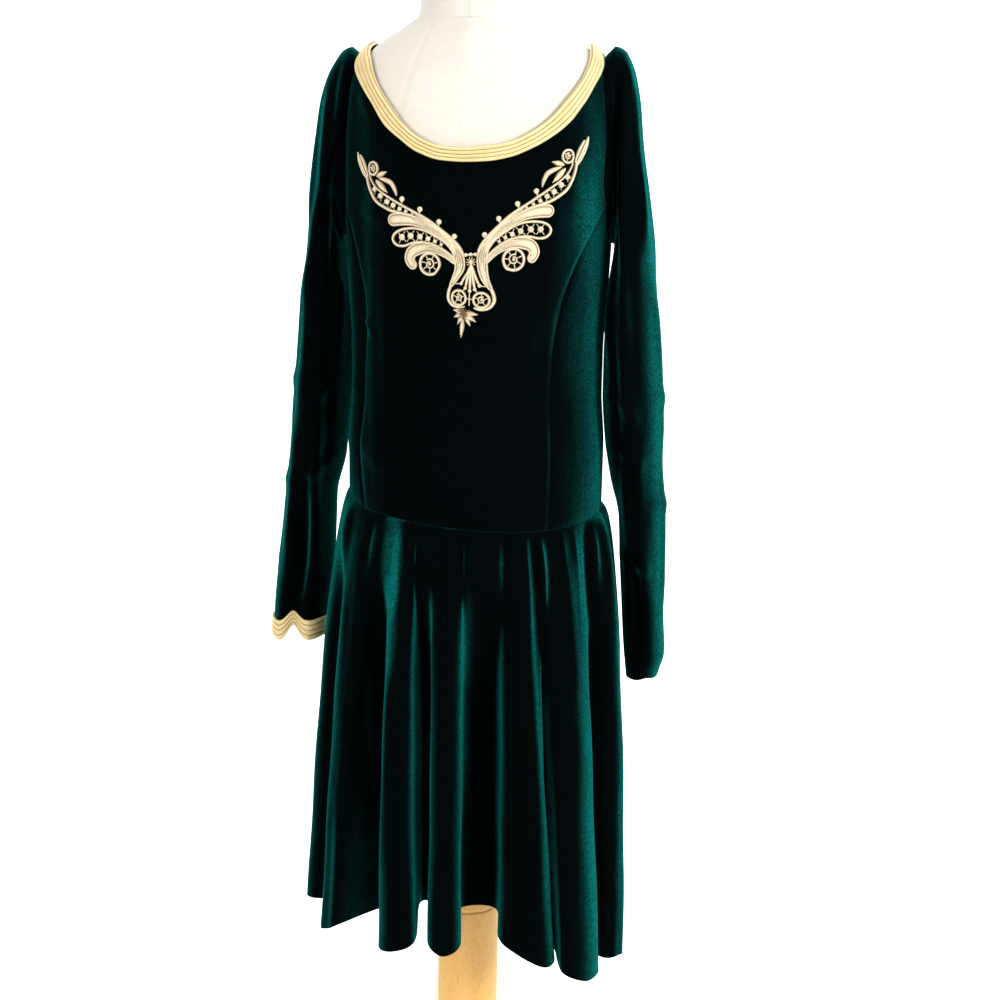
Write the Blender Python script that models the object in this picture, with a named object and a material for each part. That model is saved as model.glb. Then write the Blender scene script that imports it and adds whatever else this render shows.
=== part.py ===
"""A velvet costume dress on a limbless linen dress form.

The dress has long sleeves, a wide scoop neck edged with corded trim, armhole princess seams,
a dropped waist seam and a flared skirt that falls in deep folds. A scrolled applique lies on
the chest. The form is a padded torso and neck on a turned column with a round base.

Metres, +Z up. The origin is under the middle of the base, the front faces -Y and the wearer's
left is +X. An angle round the body is 0 at the centre front and grows towards +X.
"""
import math

import bmesh
import bpy
import numpy as np
from mathutils import Vector
from mathutils.geometry import delaunay_2d_cdt

MM = 0.001

# Cloth and gaps
VELVET = 1.6 * MM               # thickness of the velvet wall
EASE = 2.4 * MM                 # air between the form and the velvet
SEAM_GAP = 0.3 * MM             # between two pieces that meet
TRIM_WALL = 0.9 * MM            # flat part of the corded trim
TRIM_CORD = 1.1 * MM            # how far a rolled cord stands over that
TRIM_CORDS = 4                  # rolled cords side by side
TRIM_LIFT = 1.4 * MM            # from the velvet to the flat back of a trim laid on it

# The form
BODY_SQUARENESS = 2.2           # 2 would be an ellipse
NECK_HEIGHT = 92 * MM
NECK_HALF_WIDTH = 59 * MM
NECK_FLARE = ((62 * MM, 0.0), (60 * MM, 12 * MM), (59 * MM, 40 * MM))    # radius and rise
NECK_SQUASH = 0.88              # its depth against its width
NECK_ROUNDING = 8 * MM
COLUMN_RADIUS = 33 * MM
GROOVE_HEIGHT = 419 * MM
GROOVE_DEPTH = 1.2 * MM
BASE_RADIUS = 165 * MM
BASE_THICKNESS = 26 * MM
BASE_ROUNDING = 6 * MM
BASE_CHAMFER = 2 * MM

# Points round and along the pieces
ARMHOLE_POINTS = 24             # round each armhole and sleeve
SIDE_TOP_POINTS = 4             # armhole steps that belong to the side front panel
PRINCESS_STEPS = 9
SIDE_SEAM_STEPS = 8
STRAP_STEPS = 2
FRONT_COLUMNS = 14
BACK_COLUMNS = 16
FOLD_POINTS = 8                 # round each skirt fold
ROUND_POINTS = 24               # round the column and the form's neck
BASE_POINTS = 36
NECK_TRIM_STEPS = 2             # in the neck trim, for each column of a bodice panel


class Table:
    """Rows under named columns, read between the rows along a smooth curve."""

    def __init__(self, columns, rows, scale=1.0):
        self.columns = columns.split()
        self.rows = np.array(rows, dtype=float)
        self.rows[:, 1:] *= scale

    def column(self, name):
        return self.rows[:, self.columns.index(name)]

    def slopes(self, name):
        """A slope at each row that never makes the curve pass a row's value."""
        x, y = self.rows[:, 0], self.column(name)
        run = np.diff(x)
        rise = np.diff(y) / run
        slope = np.zeros(len(x))
        slope[0], slope[-1] = rise[0], rise[-1]
        for i in range(1, len(x) - 1):
            if rise[i - 1] * rise[i] > 0:
                slope[i] = 2 * rise[i - 1] * rise[i] / (rise[i - 1] + rise[i])
        return slope

    def read(self, name, at):
        """The column's value at one or many places along the first column."""
        x, y, slope = self.rows[:, 0], self.column(name), self.slopes(name)
        at = np.clip(np.asarray(at, dtype=float), x[0], x[-1])
        i = np.clip(np.searchsorted(x, at, side="right") - 1, 0, len(x) - 2)
        run = x[i + 1] - x[i]
        t = (at - x[i]) / run
        return ((1 + 2 * t) * (1 - t) ** 2 * y[i] + t * (1 - t) ** 2 * run * slope[i]
                + t * t * (3 - 2 * t) * y[i + 1] + t * t * (t - 1) * run * slope[i + 1])


# The torso of the form, from its underside to the neck. The level runs up the side and on
# over the shoulder, so it passes the height where the shoulder turns in.
TORSO = Table("level height half_width front back", [
    (870, 870, 117, 88, 90),
    (888, 888, 126, 96, 98),
    (950, 950, 126, 97, 100),
    (1010, 1010, 122.5, 91, 90),
    (1050, 1050, 122.5, 93, 86),
    (1100, 1100, 125, 101, 87),
    (1150, 1150, 127, 107, 91),
    (1200, 1200, 128, 104, 95),
    (1250, 1250, 128, 94, 96),
    (1290, 1290, 126, 83, 93),
    (1312, 1311, 122, 76, 87),
    (1330, 1326, 115, 70, 80),
    (1345, 1336, 106, 65, 73),
    (1360, 1344, 96, 61, 67),
    (1380, 1354, 80, 57, 60),
    (1402, 1365, 62.5, 54, 55),
], MM)
TORSO.rows[:, 0] *= MM
TORSO_RINGS = (870, 879, 888, 950, 1010, 1060, 1110, 1150, 1200, 1250, 1290, 1312, 1330, 1345, 1360,
               1380, 1402)
TORSO_POINTS = 32

# The waist seam dips at the front and rides up on the wearer's right side
WAIST_SEAM = Table("angle level", [
    (-180, 893), (-135, 897), (-90, 899), (-45, 889), (0, 884), (40, 882), (90, 888), (135, 891),
    (180, 893),
], MM)

# The neck edge, by angle: where the trim starts and where it ends
NECK_EDGE = Table("angle inner outer", [
    (-180, 1300, 1286), (-150, 1302, 1288), (-125, 1315, 1301), (-105, 1343, 1327),
    (-90, 1350, 1336), (-81, 1345, 1324), (-68, 1330, 1306.5), (-55, 1303, 1286), (-43, 1282, 1264),
    (-33, 1266, 1252), (-22, 1254, 1240.5), (-9, 1247, 1234), (2, 1246, 1233), (15, 1248, 1234),
    (27, 1252, 1238), (38, 1261, 1246.5), (48, 1274, 1257.5), (56.5, 1290, 1270),
    (64, 1305, 1286), (72, 1323, 1304.5), (81, 1341, 1321), (90, 1350, 1336), (105, 1343, 1327),
    (125, 1315, 1301), (150, 1302, 1288), (180, 1300, 1286),
], MM)

# The armhole is a rounded loop on the side of the body
ARMHOLE_BOTTOM = 1161 * MM
ARMHOLE_TOP = 1330 * MM
ARMHOLE_FRONT = -26 * MM
ARMHOLE_BACK = 44 * MM
ARMHOLE_SQUARENESS = 2.6

# The princess seams, from the waist to the armhole: angle from the centre front
PRINCESS = Table("step right left", [
    (0.0, -55, 50), (0.2, -58.5, 50), (0.4, -58.5, 50.5), (0.575, -55, 50.5), (0.7, -52, 52),
    (0.8, -54, 56), (0.9, -60, 64), (1.0, -76, 77),
])


def body_point(angle, level):
    """A point of the torso's skin. Angle in degrees, level in metres, arrays or numbers."""
    angle, level = np.broadcast_arrays(np.asarray(angle, float), np.asarray(level, float))
    side, ahead = np.sin(np.radians(angle)), np.cos(np.radians(angle))
    half = TORSO.read("half_width", level)
    depth = np.where(ahead > 0, TORSO.read("front", level), TORSO.read("back", level))
    n = BODY_SQUARENESS
    reach = (np.abs(side / half) ** n + np.abs(ahead / depth) ** n) ** (-1 / n)
    return np.stack([reach * side, -reach * ahead, TORSO.read("height", level)], axis=-1)


def body_normal(angle, level):
    """The outward direction of the torso's skin."""
    angle, level = np.broadcast_arrays(np.asarray(angle, float), np.asarray(level, float))
    low, high = TORSO.rows[0, 0] + MM, TORSO.rows[-1, 0] - MM
    level = np.clip(level, low, high)
    across = body_point(angle + 0.5, level) - body_point(angle - 0.5, level)
    up = body_point(angle, level + 0.5 * MM) - body_point(angle, level - 0.5 * MM)
    normal = np.cross(across, up)
    return normal / np.linalg.norm(normal, axis=-1, keepdims=True)


def dress_point(angle, level, out=VELVET):
    """A point over the torso, at the given distance over the velvet's inside."""
    return body_point(angle, level) + body_normal(angle, level) * (EASE + out)


def angle_at(y, level, side):
    """The angle where the velvet's outside lies at the given y, on one side of the body."""
    angles = np.linspace(35, 150, 231)
    found = [np.interp(a_y, dress_point(angles, a_level)[:, 1], angles)
             for a_y, a_level in zip(np.ravel(y), np.ravel(level))]
    return side * np.array(found)


def armhole_loop(side, inset=0.0):
    """Angles and levels round an armhole: underarm first, then the front, the top, the back."""
    turn = np.linspace(0, 2 * math.pi, ARMHOLE_POINTS, endpoint=False)
    power = 2 / ARMHOLE_SQUARENESS
    half_height = (ARMHOLE_TOP - ARMHOLE_BOTTOM) / 2 - inset
    rise = -np.sign(np.cos(turn)) * np.abs(np.cos(turn)) ** power
    level = (ARMHOLE_TOP + ARMHOLE_BOTTOM) / 2 + half_height * rise
    half_depth = np.where(np.sin(turn) > 0, -ARMHOLE_FRONT, ARMHOLE_BACK) - inset
    y = -np.sign(np.sin(turn)) * np.abs(np.sin(turn)) ** power * half_depth
    angle = angle_at(y, level, side)
    half = ARMHOLE_POINTS // 2
    angle[0] = side * 90
    angle[half] = side * 90
    return np.stack([angle, level], axis=1)


def spread(points, steps):
    """Points at even distances along a line of points."""
    points = np.asarray(points, float)
    length = np.concatenate([[0], np.cumsum(np.linalg.norm(np.diff(points, axis=0), axis=1))])
    at = np.linspace(0, length[-1], steps + 1)
    return np.stack([np.interp(at, length, points[:, i]) for i in range(points.shape[1])], axis=1)


def coons(bottom, top, left, right):
    """A grid between four edges. Rows run from bottom to top, columns from left to right."""
    t = np.linspace(0, 1, len(bottom))[None, :, None]
    v = np.linspace(0, 1, len(left))[:, None, None]
    between_sides = (1 - t) * left[:, None] + t * right[:, None]
    between_ends = (1 - v) * bottom[None] + v * top[None]
    corners = ((1 - t) * (1 - v) * bottom[0] + t * (1 - v) * bottom[-1]
               + (1 - t) * v * top[0] + t * v * top[-1])
    return between_sides + between_ends - corners


def pull_in(grid, sides="btlr", gap=SEAM_GAP / 2):
    """Draw the edges of a grid of points in by half a seam gap."""
    grid = grid.copy()
    pairs = {"b": (grid[0], grid[1]), "t": (grid[-1], grid[-2]),
             "l": (grid[:, 0], grid[:, 1]), "r": (grid[:, -1], grid[:, -2])}
    for side in sides:
        edge, beside = pairs[side]
        step = beside - edge
        edge += step / np.linalg.norm(step, axis=-1, keepdims=True) * gap
    return grid


def new_object(name, points, faces, material):
    """A mesh object with its faces pointing out, shaded smooth but for its sharp edges."""
    mesh = bpy.data.meshes.new(name)
    mesh.from_pydata([tuple(map(float, p)) for p in points], [], faces)
    work = bmesh.new()
    work.from_mesh(mesh)
    bmesh.ops.recalc_face_normals(work, faces=work.faces)
    if work.calc_volume(signed=True) < 0:
        bmesh.ops.reverse_faces(work, faces=work.faces)
    bmesh.ops.triangulate(work, faces=work.faces)
    work.to_mesh(mesh)
    work.free()
    mesh.shade_smooth()
    mesh.set_sharp_from_angle(angle=math.radians(40))
    mesh.materials.append(material)
    piece = bpy.data.objects.new(name, mesh)
    bpy.context.collection.objects.link(piece)
    return piece


def wall(name, outside, inside, material, closed=False):
    """A cloth wall between two grids of points. A closed one runs round as a tube."""
    rows, columns = outside.shape[:2]
    points = np.concatenate([outside.reshape(-1, 3), inside.reshape(-1, 3)])
    shift = rows * columns
    faces = []
    for r in range(rows - 1):
        for c in range(columns if closed else columns - 1):
            right = (c + 1) % columns
            quad = (r * columns + c, r * columns + right, (r + 1) * columns + right, (r + 1) * columns + c)
            faces.append(quad)
            faces.append(tuple(shift + i for i in reversed(quad)))
    edge = [[r * columns + c for c in range(columns)] for r in (0, rows - 1)]
    if closed:
        edge = [loop + loop[:1] for loop in edge]
    else:
        edge += [[r * columns + c for r in range(rows)] for c in (0, columns - 1)]
    for line in edge:
        for a, b in zip(line, line[1:]):
            faces.append((a, b, shift + b, shift + a))
    return new_object(name, points, faces, material)


def grid_normals(grid, closed=False):
    """Unit normals of a grid, to the side that sees its columns run to the right."""
    if closed:
        across = np.roll(grid, -1, axis=1) - np.roll(grid, 1, axis=1)
    else:
        across = np.gradient(grid, axis=1)
    up = np.gradient(grid, axis=0)
    normal = np.cross(across, up)
    return normal / np.linalg.norm(normal, axis=-1, keepdims=True)


def finish(name, colour, roughness, metallic=0.0):
    """A material for the solids."""
    material = bpy.data.materials.new(name)
    material.use_nodes = True
    shader = material.node_tree.nodes["Principled BSDF"]
    shader.inputs["Base Color"].default_value = (*colour, 1.0)
    shader.inputs["Roughness"].default_value = roughness
    shader.inputs["Metallic"].default_value = metallic
    material.diffuse_color = (*colour, 1.0)
    return material


def wrapped(angles):
    """The same angles between -180 and 180."""
    return (angles + 180) % 360 - 180


def waist_line(start, end, steps):
    """Angles and levels along the waist seam."""
    angles = np.linspace(start, end, steps + 1)
    return np.stack([angles, WAIST_SEAM.read("level", wrapped(angles))], axis=1)


def neck_line(start, end, steps, edge="inner"):
    """Angles and levels along an edge of the neck, at even steps along its length."""
    fine = np.linspace(start, end, 181)
    places = dress_point(fine, NECK_EDGE.read(edge, wrapped(fine)))
    length = np.concatenate([[0], np.cumsum(np.linalg.norm(np.diff(places, axis=0), axis=1))])
    at = np.interp(np.linspace(0, length[-1], steps + 1), length, fine)
    return np.stack([at, NECK_EDGE.read(edge, wrapped(at))], axis=1)


def princess_line(side):
    """Angles and levels up a princess seam, to its place on the armhole."""
    end = armhole_loop(side)[SIDE_TOP_POINTS]
    step = np.linspace(0, 1, PRINCESS_STEPS + 1)
    angle = PRINCESS.read("right" if side < 0 else "left", step)
    angle += (end[0] - angle[-1]) * step ** 6
    foot = WAIST_SEAM.read("level", angle[0])
    return np.stack([angle, foot + (end[1] - foot) * step], axis=1)


def strap_line(side):
    """The shoulder seam, from the top of the armhole to the neck edge."""
    top = NECK_EDGE.read("inner", side * 90)
    level = np.linspace(ARMHOLE_TOP, top, STRAP_STEPS + 1)[1:]
    return np.stack([np.full(STRAP_STEPS, side * 90.0), level], axis=1)


def panel(name, edges, material):
    """A bodice panel between four edges given as angles and levels."""
    grid = coons(*edges)
    outside = pull_in(dress_point(grid[..., 0], grid[..., 1], VELVET))
    inside = pull_in(dress_point(grid[..., 0], grid[..., 1], 0.0))
    return wall(name, outside, inside, material)


def bodice(velvet):
    """Front panel with its straps, the two side front panels and the back."""
    half = ARMHOLE_POINTS // 2
    left_edge, right_edge = [], []
    for side, edge in ((-1, left_edge), (1, right_edge)):
        loop = armhole_loop(side)
        edge.extend([princess_line(side), loop[SIDE_TOP_POINTS + 1:half + 1], strap_line(side)])
    left, right = np.concatenate(left_edge), np.concatenate(right_edge)
    bottom = waist_line(left[0, 0], right[0, 0], FRONT_COLUMNS)
    panel("bodice_front", (bottom, neck_line(-90, 90, FRONT_COLUMNS), left, right), velvet)
    for side, name in ((-1, "bodice_side_right"), (1, "bodice_side_left")):
        seam = princess_line(side)
        top = armhole_loop(side)[SIDE_TOP_POINTS::-1]
        bottom = waist_line(seam[0, 0], side * 90, SIDE_TOP_POINTS)
        levels = np.linspace(bottom[-1, 1], top[-1, 1], PRINCESS_STEPS + 1)
        side_seam = np.stack([np.full(PRINCESS_STEPS + 1, side * 90.0), levels], axis=1)
        edges = (bottom, top, seam, side_seam)
        if side < 0:
            edges = (bottom[::-1], top[::-1], side_seam, seam)
        panel(name, edges, velvet)
    sides = []
    for side in (1, -1):
        loop = armhole_loop(side)
        foot = WAIST_SEAM.read("level", side * 90)
        levels = np.linspace(foot, ARMHOLE_BOTTOM, SIDE_SEAM_STEPS + 1)
        side_seam = np.stack([np.full(SIDE_SEAM_STEPS + 1, side * 90.0), levels], axis=1)
        line = np.concatenate([side_seam, loop[:half - 1:-1], strap_line(side)])
        if side < 0:
            line[:, 0] += 360
        sides.append(line)
    panel("bodice_back", (waist_line(90, 270, BACK_COLUMNS), neck_line(90, 270, BACK_COLUMNS),
                          sides[0], sides[1]), velvet)


# The skirt's folds, round from the back. Start is the angle under the waist seam; angle, reach
# and hem are those of the fold's crest at the hem; the valley is the one after it.
FOLDS = Table("start angle reach width hem spring valley_angle valley_reach valley_hem", [
    (-168, -171, 166, 30, 442, 0.52, -158, 84, 462),
    (-146, -147, 172, 34, 440, 0.52, -136, 82, 460),
    (-123, -124, 168, 28, 438, 0.54, -112, 88, 455),
    (-104, -103, 166, 24, 434, 0.56, -93, 104, 446),
    (-79, -81, 179, 22, 429, 0.58, -71, 118, 440),
    (-54, -58, 171, 30, 430, 0.58, -43, 86, 456),
    (-31, -24, 153, 32, 445, 0.56, -12, 78, 466),
    (-4, 1, 146, 30, 447, 0.55, 17, 74, 468),
    (25, 34, 162, 56, 445, 0.50, 45, 132, 447),
    (52, 50, 190, 26, 429, 0.42, 58, 132, 442),
    (71, 69, 184, 30, 428, 0.38, 83, 106, 446),
    (99, 99, 168, 26, 436, 0.42, 110, 86, 456),
    (120, 121, 172, 32, 440, 0.48, 132, 82, 460),
    (142, 143, 168, 30, 441, 0.50, 154, 86, 462),
    (167, 166, 171, 32, 441, 0.52, 177, 82, 463),
])
SEAM_AFTER_RIGHT = 3            # the side seams lie in the valleys after these folds
SEAM_AFTER_LEFT = 10
SKIRT_ROWS = (0.0, 0.03, 0.075, 0.13, 0.2, 0.3, 0.43, 0.58, 0.78, 1.0)
HIP_SPRING = 13 * MM            # how far the cloth springs out just under the seam
HIP_SPRING_AT = 0.10            # how far down that is greatest, of the skirt's length
FOLD_TURN = 0.6                 # how soon a fold reaches its own angle
VALLEY_GROWTH = 1.1             # above 1, a valley leaves the body late
CREST_SIDE = 0.94               # reach at the sides of a crest, against its middle
CREST_SIDE_RISE = 2             # and how much higher its hem is there, in millimetres
CREST_SHARE = 0.24              # how far towards the next fold a crest's side starts at the seam


def skirt_controls():
    """For each fold four places: crest's right side, crest, its left side, the valley."""
    rows = []
    count = len(FOLDS.rows)
    columns = {name: FOLDS.column(name) for name in FOLDS.columns}
    for i in range(count):
        fold = {name: float(values[i]) for name, values in columns.items()}
        after = float(columns["start"][(i + 1) % count]) + (360 if i == count - 1 else 0)
        before = float(columns["start"][i - 1]) - (360 if i == 0 else 0)
        half_turn = math.degrees(fold["width"] / 2 / fold["reach"])
        start_before = fold["start"] - CREST_SHARE * (fold["start"] - before)
        start_after = fold["start"] + CREST_SHARE * (after - fold["start"])
        side_hem = fold["hem"] + CREST_SIDE_RISE
        rows.append((start_before, fold["angle"] - half_turn, fold["reach"] * CREST_SIDE, side_hem,
                     fold["spring"], 0))
        rows.append((fold["start"], fold["angle"], fold["reach"], fold["hem"], fold["spring"], 0))
        rows.append((start_after, fold["angle"] + half_turn, fold["reach"] * CREST_SIDE, side_hem,
                     fold["spring"], 0))
        rows.append(((fold["start"] + after) / 2, fold["valley_angle"], fold["valley_reach"],
                     fold["valley_hem"], fold["spring"], 1))
    return np.array(rows)


def curve_through(controls, per_step):
    """A smooth closed curve through rows of numbers, with even steps between each two."""
    out = []
    count = len(controls)
    for i in range(count):
        p0, p1 = controls[i - 1], controls[i]
        p2, p3 = controls[(i + 1) % count], controls[(i + 2) % count]
        for step in range(per_step):
            t = step / per_step
            out.append(0.5 * (2 * p1 + (p2 - p0) * t + (2 * p0 - 5 * p1 + 4 * p2 - p3) * t * t
                              + (3 * p1 - p0 - 3 * p2 + p3) * t ** 3))
    return np.array(out)


def skirt_grid(per_step, rows):
    """The skirt's outside, ring by ring from the waist seam to the hem."""
    controls = skirt_controls()
    start, hem_angle, reach, hem, spring, valley = controls.T
    seam = dress_point(start, WAIST_SEAM.read("level", wrapped(start)) - SEAM_GAP / 2)
    seam_reach = np.hypot(seam[:, 0], seam[:, 1])
    growth = reach * MM - seam_reach
    grid = []
    for down in rows:
        angle = np.radians(start + (hem_angle - start) * down ** FOLD_TURN)
        bump = down / HIP_SPRING_AT * math.exp(1 - down / HIP_SPRING_AT)
        crest_reach = seam_reach + growth * down ** spring
        valley_reach = seam_reach + growth * down ** VALLEY_GROWTH + HIP_SPRING * bump
        out = np.where(valley > 0.5, valley_reach, crest_reach)
        height = seam[:, 2] + (hem * MM - seam[:, 2]) * down
        ring = np.stack([out * np.sin(angle), -out * np.cos(angle), height], axis=1)
        grid.append(curve_through(ring, per_step))
    steps = np.arange(len(start) * per_step) / per_step
    around = np.interp(steps, np.arange(len(start) + 1), np.append(start, start[0] + 360))
    grid[0] = dress_point(around, WAIST_SEAM.read("level", wrapped(around)) - SEAM_GAP / 2)
    return np.array(grid)


def skirt(velvet):
    """Front and back of the skirt, parted in the folds beside the side seams."""
    grid = skirt_grid(FOLD_POINTS // 4, SKIRT_ROWS)[::-1]
    inside = grid - grid_normals(grid, closed=True) * VELVET
    inside[-1] = waist_inside(grid[-1])
    count = grid.shape[1]
    valley = FOLD_POINTS * 3 // 4
    right_seam = SEAM_AFTER_RIGHT * FOLD_POINTS + valley
    left_seam = SEAM_AFTER_LEFT * FOLD_POINTS + valley
    front = np.arange(right_seam, left_seam + 1)
    back = np.arange(left_seam, right_seam + count + 1) % count
    for name, pick in (("skirt_front", front), ("skirt_back", back)):
        wall(name, pull_in(grid[:, pick], "lr"), pull_in(inside[:, pick], "lr"), velvet)


def waist_inside(ring):
    """The inside of the skirt's top edge, straight in from its outside."""
    flat = ring.copy()
    flat[:, 2] = 0
    return ring - flat / np.linalg.norm(flat, axis=1, keepdims=True) * VELVET


# The sleeves, ring by ring from the armhole: the place next to the body and the outermost one,
# how deep the sleeve is to the front and back of its middle, and where that lies. The dent is
# a long soft crease in its front.
SLEEVE_RIGHT = Table("ring inner_x inner_z outer_x outer_z front back middle dent", [
    (0, 132, 1161, 118, 1333, 26, 44, 0, 0),
    (1, 136, 1156, 130, 1338, 29, 45, 1, 0),
    (2, 139, 1150, 139, 1335, 32, 45, 3, 0),
    (3, 140, 1142, 149, 1320, 34, 45, 5, 1),
    (4, 139, 1130, 158, 1297, 36, 45, 7, 2),
    (5, 137, 1112, 165, 1260, 38, 45, 9, 3),
    (6, 133, 1087, 173, 1208, 40, 45, 11, 3),
    (7, 131, 1054, 181, 1128, 41, 44, 13, 2),
    (8, 134, 1013, 189, 1040, 40, 42, 15, 0),
    (9, 139, 968, 196, 974, 38, 40, 17, 0),
    (10, 146, 920, 202, 916, 36, 38, 20, 2),
    (11, 156, 880, 208, 875, 34, 36, 23, 5),
    (12, 158, 842, 213, 838, 33, 34, 25, 8),
    (13, 160, 803, 219, 801, 32, 33, 26, 10),
    (14, 164, 764, 225, 760, 31, 32, 26, 12),
    (15, 168, 724, 227, 722, 31, 32, 26, 13),
], MM)
SLEEVE_LEFT = Table("ring inner_x inner_z outer_x outer_z front back middle dent", [
    (0, 132, 1161, 118, 1333, 26, 44, 0, 0),
    (1, 135, 1156, 129, 1341, 29, 45, 0, 0),
    (2, 136, 1150, 139, 1337, 32, 45, 0, 3),
    (3, 136, 1142, 146, 1323, 34, 46, 0, 4),
    (4, 135, 1130, 151, 1295, 36, 47, 0, 5),
    (5, 133, 1112, 156, 1252, 38, 46, 0, 5),
    (6, 131, 1087, 165, 1200, 40, 45, 0, 4),
    (7, 128.5, 1054, 176, 1130, 41, 44, 0, 3),
    (8, 128.5, 1013, 184, 1040, 40, 43, 1, 2),
    (9, 131.5, 968, 188, 972, 38, 42, 3, 2),
    (10, 138, 922, 190, 922, 36, 38, 11, 2),
    (11, 147, 880, 193, 872, 34, 36, 18, 3),
    (12, 149, 835, 194, 822, 33, 34, 23, 3),
    (13, 152, 790, 196, 775, 32, 33, 26, 3),
    (14, 156, 740, 199, 733, 32, 33, 26, 3),
    (15, 160, 706, 195, 716, 27, 28, 26, 2),
], MM)
DENT_WIDTH = 9 * MM
CUFF_RINGS_RIGHT = (14.45, 15.0)    # between which rings each cuff trim lies
CUFF_RINGS_LEFT = (14.5, 15.0)


def sleeve_grid(side, table, rings):
    """The outside of a sleeve. Columns run from the underarm to the front, top and back."""
    start = armhole_loop(side, inset=SEAM_GAP)
    turn = np.linspace(0, 2 * math.pi, ARMHOLE_POINTS, endpoint=False)
    across = (1 - np.cos(turn)) / 2
    grid = []
    for ring in rings:
        if ring == 0:
            grid.append(dress_point(start[:, 0], start[:, 1], VELVET + SEAM_GAP))
            continue
        row = {name: float(table.read(name, ring)) for name in table.columns[1:]}
        x = row["inner_x"] + (row["outer_x"] - row["inner_x"]) * across
        z = row["inner_z"] + (row["outer_z"] - row["inner_z"]) * across
        depth = np.where(np.sin(turn) > 0, row["front"], row["back"])
        y = row["middle"] - depth * np.sin(turn)
        middle_x = (row["inner_x"] + row["outer_x"]) / 2
        dent = row["dent"] * np.exp(-((x - middle_x) / DENT_WIDTH) ** 2)
        y += np.where(np.sin(turn) > 0, dent, 0)
        grid.append(np.stack([side * x, y, z], axis=1))
    return np.array(grid)


def sleeve(name, side, table, velvet):
    """A sleeve from its armhole to its cuff, open at both ends."""
    grid = sleeve_grid(side, table, np.arange(len(table.rows)))
    normals = grid_normals(grid, closed=True) * -side
    inside = grid - normals * VELVET
    inside[0] = ring_inside(grid[0], side)
    wall(name, grid, inside, velvet, closed=True)
    return grid, normals


def ring_inside(ring, side):
    """The inside of a sleeve's first ring: the outside drawn in towards the armhole's middle."""
    middle = ring.mean(axis=0)
    step = middle - ring
    step[:, 0] = 0
    return ring + step / np.linalg.norm(step, axis=1, keepdims=True) * VELVET


def cord_profile(steps_per_cord=2):
    """Places across the trim, 0 to 1, and how far each stands out of its flat back."""
    places, heights = [0.0], [TRIM_WALL]
    for cord in range(TRIM_CORDS):
        for step in range(1, steps_per_cord + 1):
            t = step / steps_per_cord
            places.append((cord + t) / TRIM_CORDS)
            heights.append(TRIM_WALL + TRIM_CORD * math.sin(math.pi * t))
    places += [1.0, 0.0]
    heights += [0.0, 0.0]
    return list(zip(places, heights))


def band(name, lines, material):
    """A closed band through lines of points that run round it, the last beside the first."""
    points = np.concatenate(lines)
    count = len(lines[0])
    faces = []
    for r in range(len(lines)):
        above = (r + 1) % len(lines)
        for c in range(count):
            right = (c + 1) % count
            faces.append((r * count + c, r * count + right, above * count + right, above * count + c))
    return new_object(name, points, faces, material)


def neck_trim(gold):
    """A band of rolled cords laid on the velvet all round the neck edge."""
    inner, outer = [np.concatenate([neck_line(-90, 90, NECK_TRIM_STEPS * FRONT_COLUMNS, edge)[:-1],
                                    neck_line(90, 270, NECK_TRIM_STEPS * BACK_COLUMNS, edge)[:-1]])
                    for edge in ("inner", "outer")]
    lines = []
    for place, height in cord_profile():
        line = outer + (inner - outer) * place
        lines.append(dress_point(line[:, 0], line[:, 1], VELVET + TRIM_LIFT + height))
    band("neck_trim", lines, gold)


def cuff_trim(name, grid, normals, rings, lift, gold):
    """A band of rolled cords on the end of a sleeve, outside it or, with a lift below 0, in it."""
    facing = 1 if lift > 0 else -1
    first, last = rings
    lines = []
    for place, height in cord_profile():
        at = first + (last - first) * place
        low = int(min(math.floor(at), len(grid) - 2))
        ring = grid[low] + (grid[low + 1] - grid[low]) * (at - low)
        normal = normals[low] + (normals[low + 1] - normals[low]) * (at - low)
        lines.append(ring + normal * (lift + facing * height))
    band(name, lines, gold)


# The applique, laid out flat in millimetres: across from its star and up, for the wing on the
# wearer's left. The other wing is its mirror.
APPLIQUE_ANGLE = 8.5            # where the star lies, round the body
APPLIQUE_LEVEL = 1144 * MM
APPLIQUE_TILT = math.radians(4.5)
LACE_THICK = 1.3 * MM
LACE_LIFT = 0.5 * MM
PADDING = 1.0 * MM              # how far the stuffed lobes stand over the rest
LACE_WELD = 0.02                # places nearer than this become one
LACE_SMOOTH = 0.3               # a place this near its neighbours' line is left out
LACE_LONGEST = 13               # but no edge gets longer than this
STROKE_STEP = 8.0               # from one cut across a stroke to the next
# Strokes: a route, then the width at its start, middle and end, and whether it is stuffed
WING_STROKES = (
    (((7, 9), (19, 20), (34, 32), (50, 43), (65, 54), (80, 64), (93, 74), (101, 85)), (3.6, 3.2, 3.2), False),
    (((40, 32), (64, 45), (83, 51), (95, 59), (101, 70), (105, 84)), (9.0, 3.6, 4.0), False),
    (((26, 20), (15, 9), (12, -5), (13, -15), (18, -24)), (7.0, 10.0, 4.0), True),
    (((18, -22.5), (21, -32), (17, -41), (9, -45), (2, -45)), (4.0, 3.4, 3.4), False),
    (((24, 15), (34, 25), (48, 34), (62, 40), (77, 41.5)), (9.0, 9.0, 9.5), True),
    (((24, 9), (36, 19), (50, 26), (64, 30.5), (73, 29.5), (76, 24.5), (70, 19), (58, 17), (44, 14)),
     (6.0, 3.2, 3.2), False),
    (((18, 4), (30, 9.5), (44, 13), (56, 11), (61.5, 4), (54, -3.5)), (7.0, 9.0, 9.0), True),
)
WING_RINGS = ((95, 90, 5.4), (41.5, -0.5, 8.7), (9.5, -34.5, 6.6))
RING_WIDTH = 3.2
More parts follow.
